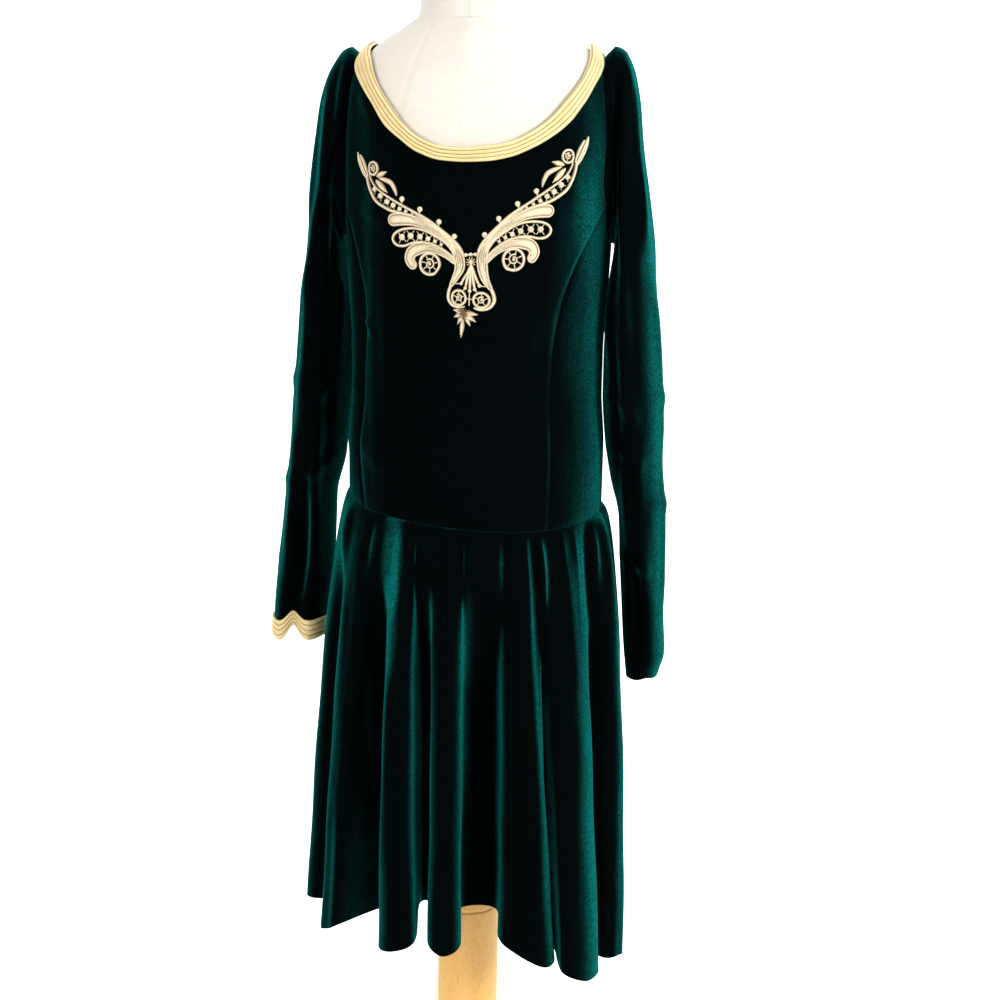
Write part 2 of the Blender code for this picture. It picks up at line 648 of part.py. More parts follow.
WING_BARS = (((65, 53), (71, 48)), ((75, 60), (81, 52)), ((85, 68), (93, 58)), ((93, 75), (101, 70)),
             ((58, 28), (60, 18)), ((34, -4.5), (49, 3.5)), ((38.5, 7), (44.5, -8)), ((15, -30), (21, -30)),
             ((9.5, -41), (9.5, -45)), ((98, 85), (105, 83)))
BAR_WIDTH = 2.8
WING_BEADS = ((14, 20), (31, 34), (47, 46.5), (64, 58.5))
BEAD_RADIUS = 3.2
# Leaves: foot, tip and width
WING_LEAVES = (((83, 66), (76, 79), 7.5), ((95, 74), (84, 87), 7), ((103, 81), (118, 107), 8))
CAPS = ((77, 41.5, 4.7), (53.5, -3.5, 4.8))
PENDANT_LEAVES = (((-6, -50), (-10, -71), 6.5), ((-3, -47), (6, -58), 6), ((-10, -47), (-20, -56), 6))
PENDANT_BARS = (((-9, 4), (9, 4)), ((0, 5), (0, -34)), ((-8, -20), (0, -4)), ((8, -20), (0, -4)),
                ((-4, -34), (4, -34)))
FLOWER_AT = (-6, -49)
FLOWER_RADIUS = 7


def stroke_shapes(route, widths, stuffed):
    """Four-sided cuts along both halves of a stroke, with the stuffing's height on its line."""
    fine = []
    for i in range(len(route) - 1):
        p0, p1 = route[max(i - 1, 0)], route[i]
        p2, p3 = route[i + 1], route[min(i + 2, len(route) - 1)]
        for t in np.linspace(0, 1, 6, endpoint=False):
            fine.append([0.5 * (2 * b + (c - a) * t + (2 * a - 5 * b + 4 * c - d) * t * t
                                + (3 * b - a - 3 * c + d) * t ** 3) for a, b, c, d in zip(p0, p1, p2, p3)])
    fine.append(list(route[-1]))
    length = np.linalg.norm(np.diff(fine, axis=0), axis=1).sum()
    line = spread(fine, max(2, round(length / STROKE_STEP)))
    along = np.gradient(line, axis=0)
    along /= np.linalg.norm(along, axis=1, keepdims=True)
    beside = np.stack([-along[:, 1], along[:, 0]], axis=1)
    half = np.interp(np.linspace(0, 1, len(line)), (0, 0.5, 1), widths)[:, None] / 2
    left, right = line + beside * half, line - beside * half
    shapes = []
    for i in range(len(line) - 1):
        if stuffed:
            shapes.append([line[i], line[i + 1], left[i + 1], left[i]])
            shapes.append([right[i], right[i + 1], line[i + 1], line[i]])
        else:
            shapes.append([right[i], right[i + 1], left[i + 1], left[i]])
    return shapes, line if stuffed else None


def round_shape(centre, radius, sides=8):
    """A disc as a polygon, turned the way the other shapes are."""
    turn = np.linspace(0, 2 * math.pi, sides, endpoint=False) + 0.2
    return [[centre[0] + radius * math.cos(t), centre[1] + radius * math.sin(t)] for t in turn]


def leaf_shape(foot, tip, width):
    """A pointed leaf from its foot to its tip."""
    foot, tip = np.array(foot, float), np.array(tip, float)
    along = tip - foot
    beside = np.array([-along[1], along[0]]) / np.linalg.norm(along) * width / 2
    return [foot, foot + along * 0.3 - beside * 0.85, foot + along * 0.6 - beside, tip,
            foot + along * 0.6 + beside, foot + along * 0.3 + beside * 0.85]


def flat_applique():
    """All the flat shapes of the applique and the raised lines of its stuffed lobes."""
    shapes, raised = [], []
    for mirror in (1, -1):
        parts = []
        for route, widths, stuffed in WING_STROKES:
            cuts, line = stroke_shapes(route, widths, stuffed)
            parts += cuts
            if line is not None:
                raised += [(mirror * x, y) for x, y in line[1:-1]]
        for x, y, radius in WING_RINGS:
            turn = np.linspace(0, 2 * math.pi, 10)
            ring = np.stack([x + radius * np.cos(turn), y + radius * np.sin(turn)], axis=1)
            for i in range(9):
                near = (ring[i:i + 2] - (x, y)) * (1 - RING_WIDTH / 2 / radius) + (x, y)
                far = (ring[i:i + 2] - (x, y)) * (1 + RING_WIDTH / 2 / radius) + (x, y)
                parts.append([near[0], far[0], far[1], near[1]])
        parts += [round_shape((x, y), radius) for x, y, radius in CAPS]
        parts += [cut for bar in WING_BARS for cut in stroke_shapes(bar, (BAR_WIDTH,) * 3, False)[0]]
        parts += [round_shape(bead, BEAD_RADIUS) for bead in WING_BEADS]
        parts += [leaf_shape(*leaf) for leaf in WING_LEAVES]
        shapes += [[(mirror * x, y) for x, y in shape][::mirror] for shape in parts]
    for bar in PENDANT_BARS:
        shapes += stroke_shapes(bar, (BAR_WIDTH,) * 3, False)[0]
    shapes += [leaf_shape(*leaf) for leaf in PENDANT_LEAVES]
    shapes.append(round_shape(FLOWER_AT, FLOWER_RADIUS, 10))
    shapes.append(round_shape((0, 0), 4.5, 8))
    return shapes, raised


def chest_place(across, up):
    """The angle and level of a place on the flat applique, in millimetres from its star."""
    turned_x = across * math.cos(APPLIQUE_TILT) - up * math.sin(APPLIQUE_TILT)
    turned_y = across * math.sin(APPLIQUE_TILT) + up * math.cos(APPLIQUE_TILT)
    level = APPLIQUE_LEVEL + turned_y * MM
    angles = np.linspace(-89, 89, 179)
    line = dress_point(angles, level)
    length = np.concatenate([[0], np.cumsum(np.linalg.norm(np.diff(line, axis=0), axis=1))])
    start = np.interp(APPLIQUE_ANGLE, angles, length)
    return float(np.interp(start + turned_x * MM, length, angles)), level


def edges_once(triangles):
    """The edges that only one triangle has, each in that triangle's own direction."""
    once = {}
    for tri in triangles:
        for a, b in zip(tri, tri[1:] + tri[:1]):
            if once.pop((b, a), None) is None:
                once[(a, b)] = True
    return list(once)


def outline_loops(verts, triangles):
    """The outline and the gaps of a flat mesh as closed loops, without needless places."""
    following = {}
    for a, b in edges_once(triangles):
        following.setdefault(a, []).append(b)
    loops = []
    while following:
        start = here = next(iter(following))
        loop = []
        while here in following:
            loop.append(here)
            ahead = following[here].pop()
            if not following[here]:
                del following[here]
            here = ahead
            if here == start:
                break
        loops.append(thinned([tuple(verts[i]) for i in loop]))
    return [loop for loop in loops if len(loop) > 2]


def thinned(loop):
    """A loop less the places that lie nearly on the line between their neighbours."""
    loop, i = list(loop), 0
    while i < len(loop) and len(loop) > 3:
        before, here, after = np.array(loop[i - 1]), np.array(loop[i]), np.array(loop[(i + 1) % len(loop)])
        chord = after - before
        length = max(float(np.linalg.norm(chord)), 1e-6)
        height = abs(chord[0] * (here - before)[1] - chord[1] * (here - before)[0]) / length
        if height < LACE_SMOOTH and length < LACE_LONGEST:
            loop.pop(i)
        else:
            i += 1
    return loop


def inside(loops, x, y):
    """Whether a place lies in the lace, by how often a line from it crosses the loops."""
    crossings = 0
    for loop in loops:
        for (ax, ay), (bx, by) in zip(loop, loop[1:] + loop[:1]):
            if (ay > y) != (by > y) and x < ax + (y - ay) * (bx - ax) / (by - ay):
                crossings += 1
    return crossings % 2 == 1


def flat_mesh(shapes, raised):
    """The shapes joined into one sheet of triangles, with its gaps open."""
    places, faces = [], []
    for shape in shapes:
        faces.append(list(range(len(places), len(places) + len(shape))))
        places += [Vector((float(x), float(y))) for x, y in shape]
    verts, _, triangles, _, _, sources = delaunay_2d_cdt(places, [], faces, 0, LACE_WELD)
    loops = outline_loops(verts, [tri for tri, source in zip(triangles, sources) if source])
    places, edges = [Vector(place) for place in raised], []
    for loop in loops:
        first = len(places)
        places += [Vector(place) for place in loop]
        edges += [(first + i, first + (i + 1) % len(loop)) for i in range(len(loop))]
    verts, _, triangles, _, _, _ = delaunay_2d_cdt(places, edges, [], 0, LACE_WELD)
    middles = [sum((verts[i] for i in tri), Vector((0, 0))) / 3 for tri in triangles]
    return verts, [tri for tri, middle in zip(triangles, middles) if inside(loops, middle.x, middle.y)]


def applique(lace):
    """The scrolled applique: one cut sheet with its gaps open and its stuffed lobes raised."""
    shapes, raised = flat_applique()
    verts, triangles = flat_mesh(shapes, raised)
    used = sorted({i for tri in triangles for i in tri})
    number = {old: new for new, old in enumerate(used)}
    triangles = [tuple(number[i] for i in tri) for tri in triangles]
    top, under = [], []
    for old in used:
        across, up = verts[old]
        padded = any(math.hypot(across - x, up - y) < 0.5 for x, y in raised)
        angle, level = chest_place(across, up)
        top.append(dress_point(angle, level, VELVET + LACE_LIFT + LACE_THICK + (PADDING if padded else 0)))
        under.append(dress_point(angle, level, VELVET + LACE_LIFT))
    shift = len(used)
    solid = list(triangles)
    solid += [tuple(shift + i for i in reversed(tri)) for tri in triangles]
    solid += [(b, a, shift + a, shift + b) for a, b in edges_once(triangles)]
    return new_object("applique", top + under, solid, lace)


def turned(name, profile, points, material, squash=1.0):
    """A solid turned round Z from a line of (radius, height) places, closed at both ends."""
    turn = np.linspace(0, 2 * math.pi, points, endpoint=False)
    rings = [np.stack([r * np.sin(turn), -r * squash * np.cos(turn), np.full(points, z)], axis=1)
             for r, z in profile]
    return stacked(name, rings, material)


def stacked(name, rings, material):
    """A solid through closed rings, with a flat face on the first and the last."""
    count = len(rings[0])
    points = np.concatenate(rings)
    faces = [tuple(range(count)), tuple(range(len(points) - count, len(points)))]
    for r in range(len(rings) - 1):
        for c in range(count):
            right = (c + 1) % count
            faces.append((r * count + c, r * count + right, (r + 1) * count + right, (r + 1) * count + c))
    return new_object(name, points, faces, material)


def rounded_edge(radius, top, rounding):
    """Places of a profile round its upper edge."""
    turn = np.radians((0, 30, 60, 90))
    return [(radius - rounding + rounding * math.cos(t), top - rounding + rounding * math.sin(t))
            for t in turn]


def form(linen, wood):
    """The padded torso, its neck, the column and the base."""
    angles = np.linspace(0, 360, TORSO_POINTS, endpoint=False)
    stacked("form_torso", [body_point(angles, level * MM) for level in TORSO_RINGS], linen)
    foot = TORSO.rows[-1, 1] + SEAM_GAP
    neck = [(radius, foot + rise) for radius, rise in NECK_FLARE]
    neck += rounded_edge(NECK_HALF_WIDTH, foot + NECK_HEIGHT, NECK_ROUNDING)
    turned("form_neck", neck, ROUND_POINTS, linen, squash=NECK_SQUASH)
    radius, groove = COLUMN_RADIUS, GROOVE_DEPTH
    top = TORSO.rows[0, 1] - SEAM_GAP
    column = [(radius, BASE_THICKNESS + SEAM_GAP), (radius, GROOVE_HEIGHT - groove),
              (radius - groove, GROOVE_HEIGHT), (radius, GROOVE_HEIGHT + groove), (radius, top)]
    turned("column", column, ROUND_POINTS, wood)
    base = [(BASE_RADIUS - BASE_CHAMFER, 0.0), (BASE_RADIUS, BASE_CHAMFER)]
    base += rounded_edge(BASE_RADIUS, BASE_THICKNESS, BASE_ROUNDING)
    turned("base", base, BASE_POINTS, wood)


def main():
    for thing in list(bpy.data.objects):
        bpy.data.objects.remove(thing, do_unlink=True)
    velvet = finish("velvet", (0.004, 0.045, 0.038), 0.75)
    gold = finish("gold_trim", (0.72, 0.47, 0.14), 0.35, 0.6)
    lace = finish("lace", (0.85, 0.67, 0.38), 0.6)
    linen = finish("linen", (0.86, 0.80, 0.70), 0.9)
    wood = finish("wood", (0.72, 0.45, 0.22), 0.5)
    bodice(velvet)
    skirt(velvet)
    neck_trim(gold)
    applique(lace)
    right = sleeve("sleeve_right", -1, SLEEVE_RIGHT, velvet)
    left = sleeve("sleeve_left", 1, SLEEVE_LEFT, velvet)
    cuff_trim("cuff_trim_right", *right, CUFF_RINGS_RIGHT, SEAM_GAP, gold)
    cuff_trim("cuff_trim_left", *left, CUFF_RINGS_LEFT, -VELVET - SEAM_GAP, gold)
    form(linen, wood)


main()
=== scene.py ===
# %% [markdown]
# A velvet costume dress stands here on a limbless dress form. The packed solids are a frame to
# dress: they fix every place and size. This script lays finer cloth, cords and lace over them
# and gives each surface its finish.

# %% Load the packed model
import math

import bpy
import numpy as np
from mathutils import Matrix, Vector


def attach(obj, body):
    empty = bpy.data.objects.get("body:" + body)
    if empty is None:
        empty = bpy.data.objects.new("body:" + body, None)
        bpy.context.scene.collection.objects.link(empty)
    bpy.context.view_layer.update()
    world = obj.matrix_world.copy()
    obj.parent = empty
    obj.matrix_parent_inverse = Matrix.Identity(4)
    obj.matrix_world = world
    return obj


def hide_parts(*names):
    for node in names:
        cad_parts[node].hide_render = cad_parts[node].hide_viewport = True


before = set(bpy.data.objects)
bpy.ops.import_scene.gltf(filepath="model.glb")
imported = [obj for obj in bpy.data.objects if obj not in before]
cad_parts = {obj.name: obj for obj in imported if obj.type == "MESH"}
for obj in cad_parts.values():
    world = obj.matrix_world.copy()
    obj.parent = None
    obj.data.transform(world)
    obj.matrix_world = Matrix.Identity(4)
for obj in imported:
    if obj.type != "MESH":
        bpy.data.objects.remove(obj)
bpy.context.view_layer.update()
MM = 0.001
TWO_PI = 2 * math.pi
print("nodes:", sorted(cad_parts))

# %% [markdown]
# The camera comes first, so that every later render shows the same view. It stands a little to
# the wearer's left, about as high as the chest, and looks slightly down. A real camera is rarely
# quite level, so it has a small roll.

# %% Camera
CAMERA_DISTANCE = 1.65
CAMERA_HEIGHT = 1.30
CAMERA_TURN = math.radians(12.0)
CAMERA_PITCH = math.radians(14.0)
CAMERA_ROLL = math.radians(0.9)
CAMERA_LENS = 59.4
CAMERA_SHIFT = 0.025


def add_object(name, data):
    """A new object with this data, linked into the scene."""
    item = bpy.data.objects.new(name, data)
    bpy.context.scene.collection.objects.link(item)
    return item


def camera_axes():
    """The camera's right, up and forward directions before it rolls."""
    ahead = Vector((-math.sin(CAMERA_TURN), math.cos(CAMERA_TURN), 0))
    right = Vector((math.cos(CAMERA_TURN), math.sin(CAMERA_TURN), 0))
    forward = ahead * math.cos(CAMERA_PITCH) - Vector((0, 0, math.sin(CAMERA_PITCH)))
    up = ahead * math.sin(CAMERA_PITCH) + Vector((0, 0, math.cos(CAMERA_PITCH)))
    return right, up, forward


right, up, forward = camera_axes()
rolled_right = right * math.cos(CAMERA_ROLL) + up * math.sin(CAMERA_ROLL)
rolled_up = up * math.cos(CAMERA_ROLL) - right * math.sin(CAMERA_ROLL)
lens = bpy.data.cameras.new("camera")
lens.lens = CAMERA_LENS
lens.sensor_width = 36
lens.shift_x = CAMERA_SHIFT
camera = add_object("camera", lens)
camera.rotation_mode = "QUATERNION"
camera.location = (CAMERA_DISTANCE * math.sin(CAMERA_TURN),
                   -CAMERA_DISTANCE * math.cos(CAMERA_TURN), CAMERA_HEIGHT)
axes = np.array([rolled_right, rolled_up, -forward]).T
turn = [list(row) for row in axes]
camera.rotation_quaternion = Matrix(turn).to_quaternion()
bpy.context.scene.camera = camera
print("camera at", [round(value, 3) for value in camera.location])

# %% [markdown]
# The finishes are node trees. Shader sums read best as plain sums, so one small class wraps a
# node's output and lets Python's own signs add the Math nodes. Every other node comes from one
# method that sets the node up and then fills or links its sockets.

# %% Shader helpers


class Value:
    """An output of a node. Sums and products of such values add their Math nodes."""

    def __init__(self, tree, socket):
        self.tree = tree
        self.socket = socket

    def node(self, kind, settings=None, inputs=None, output=0):
        return add_node(self.tree, kind, settings, inputs, output)

    def maths(self, operation, *values):
        return self.node("ShaderNodeMath", {"operation": operation}, dict(enumerate(values)))

    def __add__(self, other):
        return self.maths("ADD", self, other)

    def __radd__(self, other):
        return self.maths("ADD", other, self)

    def __sub__(self, other):
        return self.maths("SUBTRACT", self, other)

    def __rsub__(self, other):
        return self.maths("SUBTRACT", other, self)

    def __mul__(self, other):
        return self.maths("MULTIPLY", self, other)

    def __rmul__(self, other):
        return self.maths("MULTIPLY", other, self)

    def __pow__(self, other):
        return self.maths("POWER", self, other)

    def sine(self):
        return self.maths("SINE", self)

    def size(self):
        return self.maths("ABSOLUTE", self)

    def mix(self, first, second):
        """A colour between two others, by this value."""
        settings = {"data_type": "RGBA"}
        return self.node("ShaderNodeMix", settings, {0: self, 6: first, 7: second}, output=2)

    def stepped(self, low, high):
        """0 below low, 1 above high, and a soft slope between."""
        return self.node("ShaderNodeMapRange", {"interpolation_type": "SMOOTHSTEP"},
                         {0: self, 1: low, 2: high})


def add_node(tree, kind, settings=None, inputs=None, output=0):
    """A node with its settings, and with values or links in its sockets."""
    node = tree.nodes.new(kind)
    for name, value in (settings or {}).items():
        setattr(node, name, value)
    for key, value in (inputs or {}).items():
        if isinstance(value, Value):
            tree.links.new(value.socket, node.inputs[key])
        elif isinstance(value, tuple) and len(value) == 3 and node.inputs[key].type == "RGBA":
            node.inputs[key].default_value = (*value, 1.0)
        else:
            node.inputs[key].default_value = value
    return Value(tree, node.outputs[output])


class Finish:
    """A material with one Principled shader, whose patterns are written as values."""

    def __init__(self, name, **fixed):
        self.material = bpy.data.materials.new(name)
        self.material.use_nodes = True
        self.tree = self.material.node_tree
        self.shader = self.tree.nodes["Principled BSDF"]
        for socket, value in fixed.items():
            value = (*value, 1.0) if isinstance(value, tuple) else value
            self.shader.inputs[socket.replace("_", " ")].default_value = value

    def node(self, kind, settings=None, inputs=None, output=0):
        return add_node(self.tree, kind, settings, inputs, output)

    def place(self, stretch=(1, 1, 1)):
        """The place on the object in metres, stretched along its axes."""
        at = self.node("ShaderNodeTexCoord", output=3)
        return self.node("ShaderNodeVectorMath", {"operation": "MULTIPLY"}, {0: at, 1: stretch})

    def xyz(self):
        """The place's three distances, each as a value."""
        at = self.place()
        return [self.node("ShaderNodeSeparateXYZ", None, {0: at}, k) for k in range(3)]

    def along(self):
        """How far along and how far across the piece a point lies, in metres."""
        at = self.node("ShaderNodeUVMap", {"uv_map": "cloth"})
        return [self.node("ShaderNodeSeparateXYZ", None, {0: at}, k) for k in range(2)]

    def noise(self, scale, detail=2.0, roughness=0.5, stretch=(1, 1, 1)):
        inputs = {"Vector": self.place(stretch), "Scale": scale, "Detail": detail,
                  "Roughness": roughness}
        return self.node("ShaderNodeTexNoise", None, inputs)

    def colour(self, value):
        self.tree.links.new(value.socket, self.shader.inputs["Base Color"])

    def rough(self, value):
        self.tree.links.new(value.socket, self.shader.inputs["Roughness"])

    def bump(self, height, depth, strength=1.0):
        """Relief from a height of 0 to 1 that stands for the given depth in metres."""
        normal = self.node("ShaderNodeBump", None,
                           {"Height": height, "Distance": depth, "Strength": strength})
        self.tree.links.new(normal.socket, self.shader.inputs["Normal"])


print("a finish offers:", [name for name in vars(Finish) if not name.startswith("_")])

# %% [markdown]
# Velvet is a dense upright pile. Seen from straight in front, light falls between the hairs and
# is lost, so the cloth looks nearly black; where the cloth turns away, the sides of the hairs
# catch the light. That light is painted into the colour, which goes from deep to a bright painted
# sheen as the surface turns, and a thin sheen from the shader lies over it. The pile's lean is a
# real trait of velvet, set here so that it also paints the flanks facing the lamp on the camera's
# right lighter. Two noises lean the pile a little this way and that, as real velvet does after it
# has been stroked, and a fine one is the grain of the pile itself. A few patches of painted
# highlight and painted shade are put in one by one, and beside the arms painted shade darkens the
# bodice's sides.

# %% Velvet
VELVET_DEEP = (0.0009, 0.0022, 0.0024)
VELVET_PAINTED_SHEEN = (0.003, 0.150, 0.134)
VELVET_SHEEN = (0.02, 0.62, 0.54)
NAP_AND_SIDE_LIGHT = (0.17, 0.0, 0.05)         # the way the pile leans, against its length; set toward the right-hand lamp, it also paints the flanks facing that lamp lighter
PILE_STROKED = 0.34             # how much slow strokes lean it
PILE_BRUSHED = 0.16             # and how much fine ones do
PILE_DARK = 0.265               # how far it turns before it catches any light
PILE_OPENS = (0.10, 0.98)       # from where to where the light in it grows
PILE_GRAIN = 7.0                # how unevenly single tufts catch it
ARM_SHADE = 0.85                  # how dark the painted shade beside the arms makes the pile
ARM_FROM, ARM_TO = 119 * MM, 131 * MM       # how far from the middle the painted shade beside the arms begins
ARM_LOW, ARM_HIGH = 930 * MM, 1050 * MM     # and from what height
STRAP_REACH = 16 * MM           # how much nearer the middle that painted shade reaches at the shoulder straps
STRAP_LOW, STRAP_HIGH = 1150 * MM, 1290 * MM    # that comes in between these heights
STRAP_SLANT = 0.6               # how steeply they fall toward the wearer's right
# Patches of painted highlight and painted shade: x, z, half width and half height in millimetres,
# and how much light is painted in, above 0, or taken out, below 0
BODY_PAINTED_LIGHT_AND_SHADE = ((-122, 1110, 34, 280, -0.32), (113, 1194, 12, 60, 0.11))
SLEEVE_PAINTED_SHADE = ((166, 1262, 52, 130, -0.55),)
SKIRT_PAINTED_HIGHLIGHTS = ((-61, 848, 17, 66, 0.52), (-58, 780, 11, 72, 0.36), (17, 780, 9, 80, 0.16))


def make_velvet(name, painted_patches, lift=0.0, arm_shade=0.0):
    """The pile. A lift above 0 opens all of it to the light, and one below 0 closes it."""
    velvet = Finish(name, Sheen_Weight=0.07, Sheen_Roughness=0.25, Sheen_Tint=VELVET_SHEEN,
                    Specular_IOR_Level=0.05, IOR=1.05, Roughness=0.8)
    # The pile's lean tilts the facing toward the right-hand lamp: painted light on the flanks that
    # face it, painted shade on the others
    upright = velvet.node("ShaderNodeTexCoord", output=1)
    leaning = velvet.node("ShaderNodeVectorMath", {"operation": "ADD"}, {0: upright, 1: NAP_AND_SIDE_LIGHT})
    leaning = velvet.node("ShaderNodeVectorMath", {"operation": "NORMALIZE"}, {0: leaning})
    turned = velvet.node("ShaderNodeLayerWeight", None, {"Blend": 0.5, "Normal": leaning}, output=1)
    stroked = velvet.noise(13, 3, 0.55, (1, 1, 0.4))
    brushed = velvet.noise(60, 3, 0.6, (1, 1, 0.14))
    pile = velvet.noise(640, 3, 0.8)
    leaned = turned + stroked * PILE_STROKED + brushed * PILE_BRUSHED - (PILE_DARK - lift)
    x, y, z = velvet.xyz()
    # Patches of painted highlight and painted shade, on the front of the cloth only
    ahead = (y * -1).stepped(0.0, 30 * MM)
    for at_x, at_z, wide, high, much in painted_patches:
        aside, above = (x - at_x * MM) * (1 / (wide * MM)), (z - at_z * MM) * (1 / (high * MM))
        reach = (aside ** 2 + above ** 2).stepped(0.0, 1.0)
        leaned = leaned + (1 - reach) * ahead * much
    catch = leaned.stepped(*PILE_OPENS) ** 1.25
    # Painted shade beside the arms and below the shoulder straps, where the arms keep the light off
    # the bodice's sides
    if arm_shade > 0:
        beside_arm = x.size() + (z - x * STRAP_SLANT).stepped(STRAP_LOW, STRAP_HIGH) * STRAP_REACH
        flat = beside_arm.stepped(ARM_FROM, ARM_TO) * z.stepped(ARM_LOW, ARM_HIGH)
        catch = catch * (1 - flat * arm_shade)
    # The colour: deep where the pile faces the camera, a painted sheen where the surface turns
    # away, broken up by the grain of single tufts
    velvet.colour((catch * (pile * PILE_GRAIN - 2.5)).mix(VELVET_DEEP, VELVET_PAINTED_SHEEN))
    velvet.bump(pile * 0.6 + velvet.noise(260, 2, 0.6, (1, 1, 0.5)) * 0.4, 0.4 * MM, 0.7)
    return velvet.material


velvet_body = make_velvet("velvet_body", BODY_PAINTED_LIGHT_AND_SHADE, 0.0, ARM_SHADE)
# The side panels take a darker copy of the velvet: painted shade
velvet_side_shaded = make_velvet("velvet_side_shaded", BODY_PAINTED_LIGHT_AND_SHADE, -0.05, ARM_SHADE)
velvet_skirt = make_velvet("velvet_skirt", SKIRT_PAINTED_HIGHLIGHTS)
velvet_sleeves = make_velvet("velvet_sleeves", SLEEVE_PAINTED_SHADE)
print("velvet nodes:", len(velvet_body.node_tree.nodes))

# %% [markdown]
# The dress is cut for a body, so the body comes first as a short table: how wide and how deep the
# form is at each level. Any level between two rows is read from a smooth curve. The cloth lies a
# few millimetres outside it, so one function gives both skins.

# %% The body and the cloth over it
VELVET = 1.6 * MM
EASE = 2.4 * MM
BODY_SQUARENESS = 2.2


def unit(vectors):
    """The same directions, each with a length of 1."""
    return vectors / np.maximum(np.linalg.norm(vectors, axis=-1, keepdims=True), 1e-12)


def run_along(points):
    """How far along a line of points each of them lies."""
    return np.concatenate([[0], np.cumsum(np.linalg.norm(np.diff(points, axis=0), axis=1))])


class Table:
    """Rows under named columns, read between the rows along a smooth curve."""

    def __init__(self, columns, rows, scale=1.0):
        self.columns = columns.split()
        self.rows = np.array(rows, dtype=float)
        self.rows[:, 1:] *= scale

    def column(self, name):
        return self.rows[:, self.columns.index(name)]

    def slopes(self, name):
        """A slope at each row that never makes the curve pass a row's value."""
        x, y = self.rows[:, 0], self.column(name)
        rise = np.diff(y) / np.diff(x)
        slope = np.zeros(len(x))
        slope[0], slope[-1] = rise[0], rise[-1]
        for i in range(1, len(x) - 1):
            if rise[i - 1] * rise[i] > 0:
                slope[i] = 2 * rise[i - 1] * rise[i] / (rise[i - 1] + rise[i])
        return slope

    def read(self, name, at):
        """The column's value at one or many places along the first column."""
        x, y, slope = self.rows[:, 0], self.column(name), self.slopes(name)
        at = np.clip(np.asarray(at, dtype=float), x[0], x[-1])
        i = np.clip(np.searchsorted(x, at, side="right") - 1, 0, len(x) - 2)
        run = x[i + 1] - x[i]
        t = (at - x[i]) / run
        return ((1 + 2 * t) * (1 - t) ** 2 * y[i] + t * (1 - t) ** 2 * run * slope[i]
                + t * t * (3 - 2 * t) * y[i + 1] + t * t * (t - 1) * run * slope[i + 1])


TORSO = Table("level height half_width front back", [
    (870, 870, 117, 88, 90),
    (888, 888, 126, 96, 98),
    (950, 950, 126, 97, 100),
    (1010, 1010, 122.5, 91, 90),
    (1050, 1050, 122.5, 93, 86),
    (1100, 1100, 125, 101, 87),
    (1150, 1150, 127, 107, 91),
    (1200, 1200, 128, 104, 95),
    (1250, 1250, 128, 94, 96),
    (1290, 1290, 126, 83, 93),
    (1312, 1311, 122, 76, 87),
    (1330, 1326, 115, 70, 80),
    (1345, 1336, 106, 65, 73),
    (1360, 1344, 96, 61, 67),
    (1380, 1354, 80, 57, 60),
    (1402, 1365, 62.5, 54, 55),
], MM)
TORSO.rows[:, 0] *= MM


def body_point(angle, level):
    """A point of the form's skin. The angle is 0 at the front and grows to the wearer's left."""
    angle, level = np.broadcast_arrays(np.asarray(angle, float), np.asarray(level, float))
    side, ahead = np.sin(np.radians(angle)), np.cos(np.radians(angle))
    half = TORSO.read("half_width", level)
    depth = np.where(ahead > 0, TORSO.read("front", level), TORSO.read("back", level))
    n = BODY_SQUARENESS
    reach = (np.abs(side / half) ** n + np.abs(ahead / depth) ** n) ** (-1 / n)
    return np.stack([reach * side, -reach * ahead, TORSO.read("height", level)], axis=-1)


def body_normal(angle, level):
    """The outward direction of the form's skin."""
    angle, level = np.broadcast_arrays(np.asarray(angle, float), np.asarray(level, float))
    level = np.clip(level, TORSO.rows[0, 0] + MM, TORSO.rows[-1, 0] - MM)
    across = body_point(angle + 0.5, level) - body_point(angle - 0.5, level)
    up = body_point(angle, level + 0.5 * MM) - body_point(angle, level - 0.5 * MM)
    return unit(np.cross(across, up))


def dress_point(angle, level, out=VELVET):
    """A point over the body, at the given distance from the velvet's inside."""
    return body_point(angle, level) + body_normal(angle, level) * (EASE + out)


def wrapped(angles):
    """The same angles between -180 and 180."""
    return (angles + 180) % 360 - 180


def spread(points, steps):
    """Points at even distances along a line of points."""
    points = np.asarray(points, float)
    length = run_along(points)
    at = np.linspace(0, length[-1], steps + 1)
    return np.stack([np.interp(at, length, column) for column in points.T], axis=1)


bust = dress_point(np.linspace(0, 360, 181), 1.15)
print("round the bust in mm:", round(run_along(bust)[-1] / MM))

# %% [markdown]
# Cloth is a thin shell with two sides and a rim. Each piece is a grid of points: rows run up the
# cloth and columns run across it. The same grid also gives the cloth its own measure, a map that
# says how many metres along and across each point lies, so that a weave or a row of stitches has
# its real size.

# %% Shells and maps
SHELL = 1.1 * MM
SHARP_FROM = math.radians(50)


def line_lengths(grid, axis):
    """How far along its line each point of a grid lies."""
    steps = np.linalg.norm(np.diff(grid, axis=axis), axis=2)
    start = np.zeros_like(steps[:, :1] if axis == 1 else steps[:1])
    return np.cumsum(np.concatenate([start, steps], axis=axis), axis=axis)


def grid_normals(grid, closed=False):
    """Unit normals of a grid, to the side that sees its columns run to the right."""
    if closed:
        across = np.roll(grid, -1, axis=1) - np.roll(grid, 1, axis=1)
    else:
        across = np.gradient(grid, axis=1)
    return unit(np.cross(across, np.gradient(grid, axis=0)))


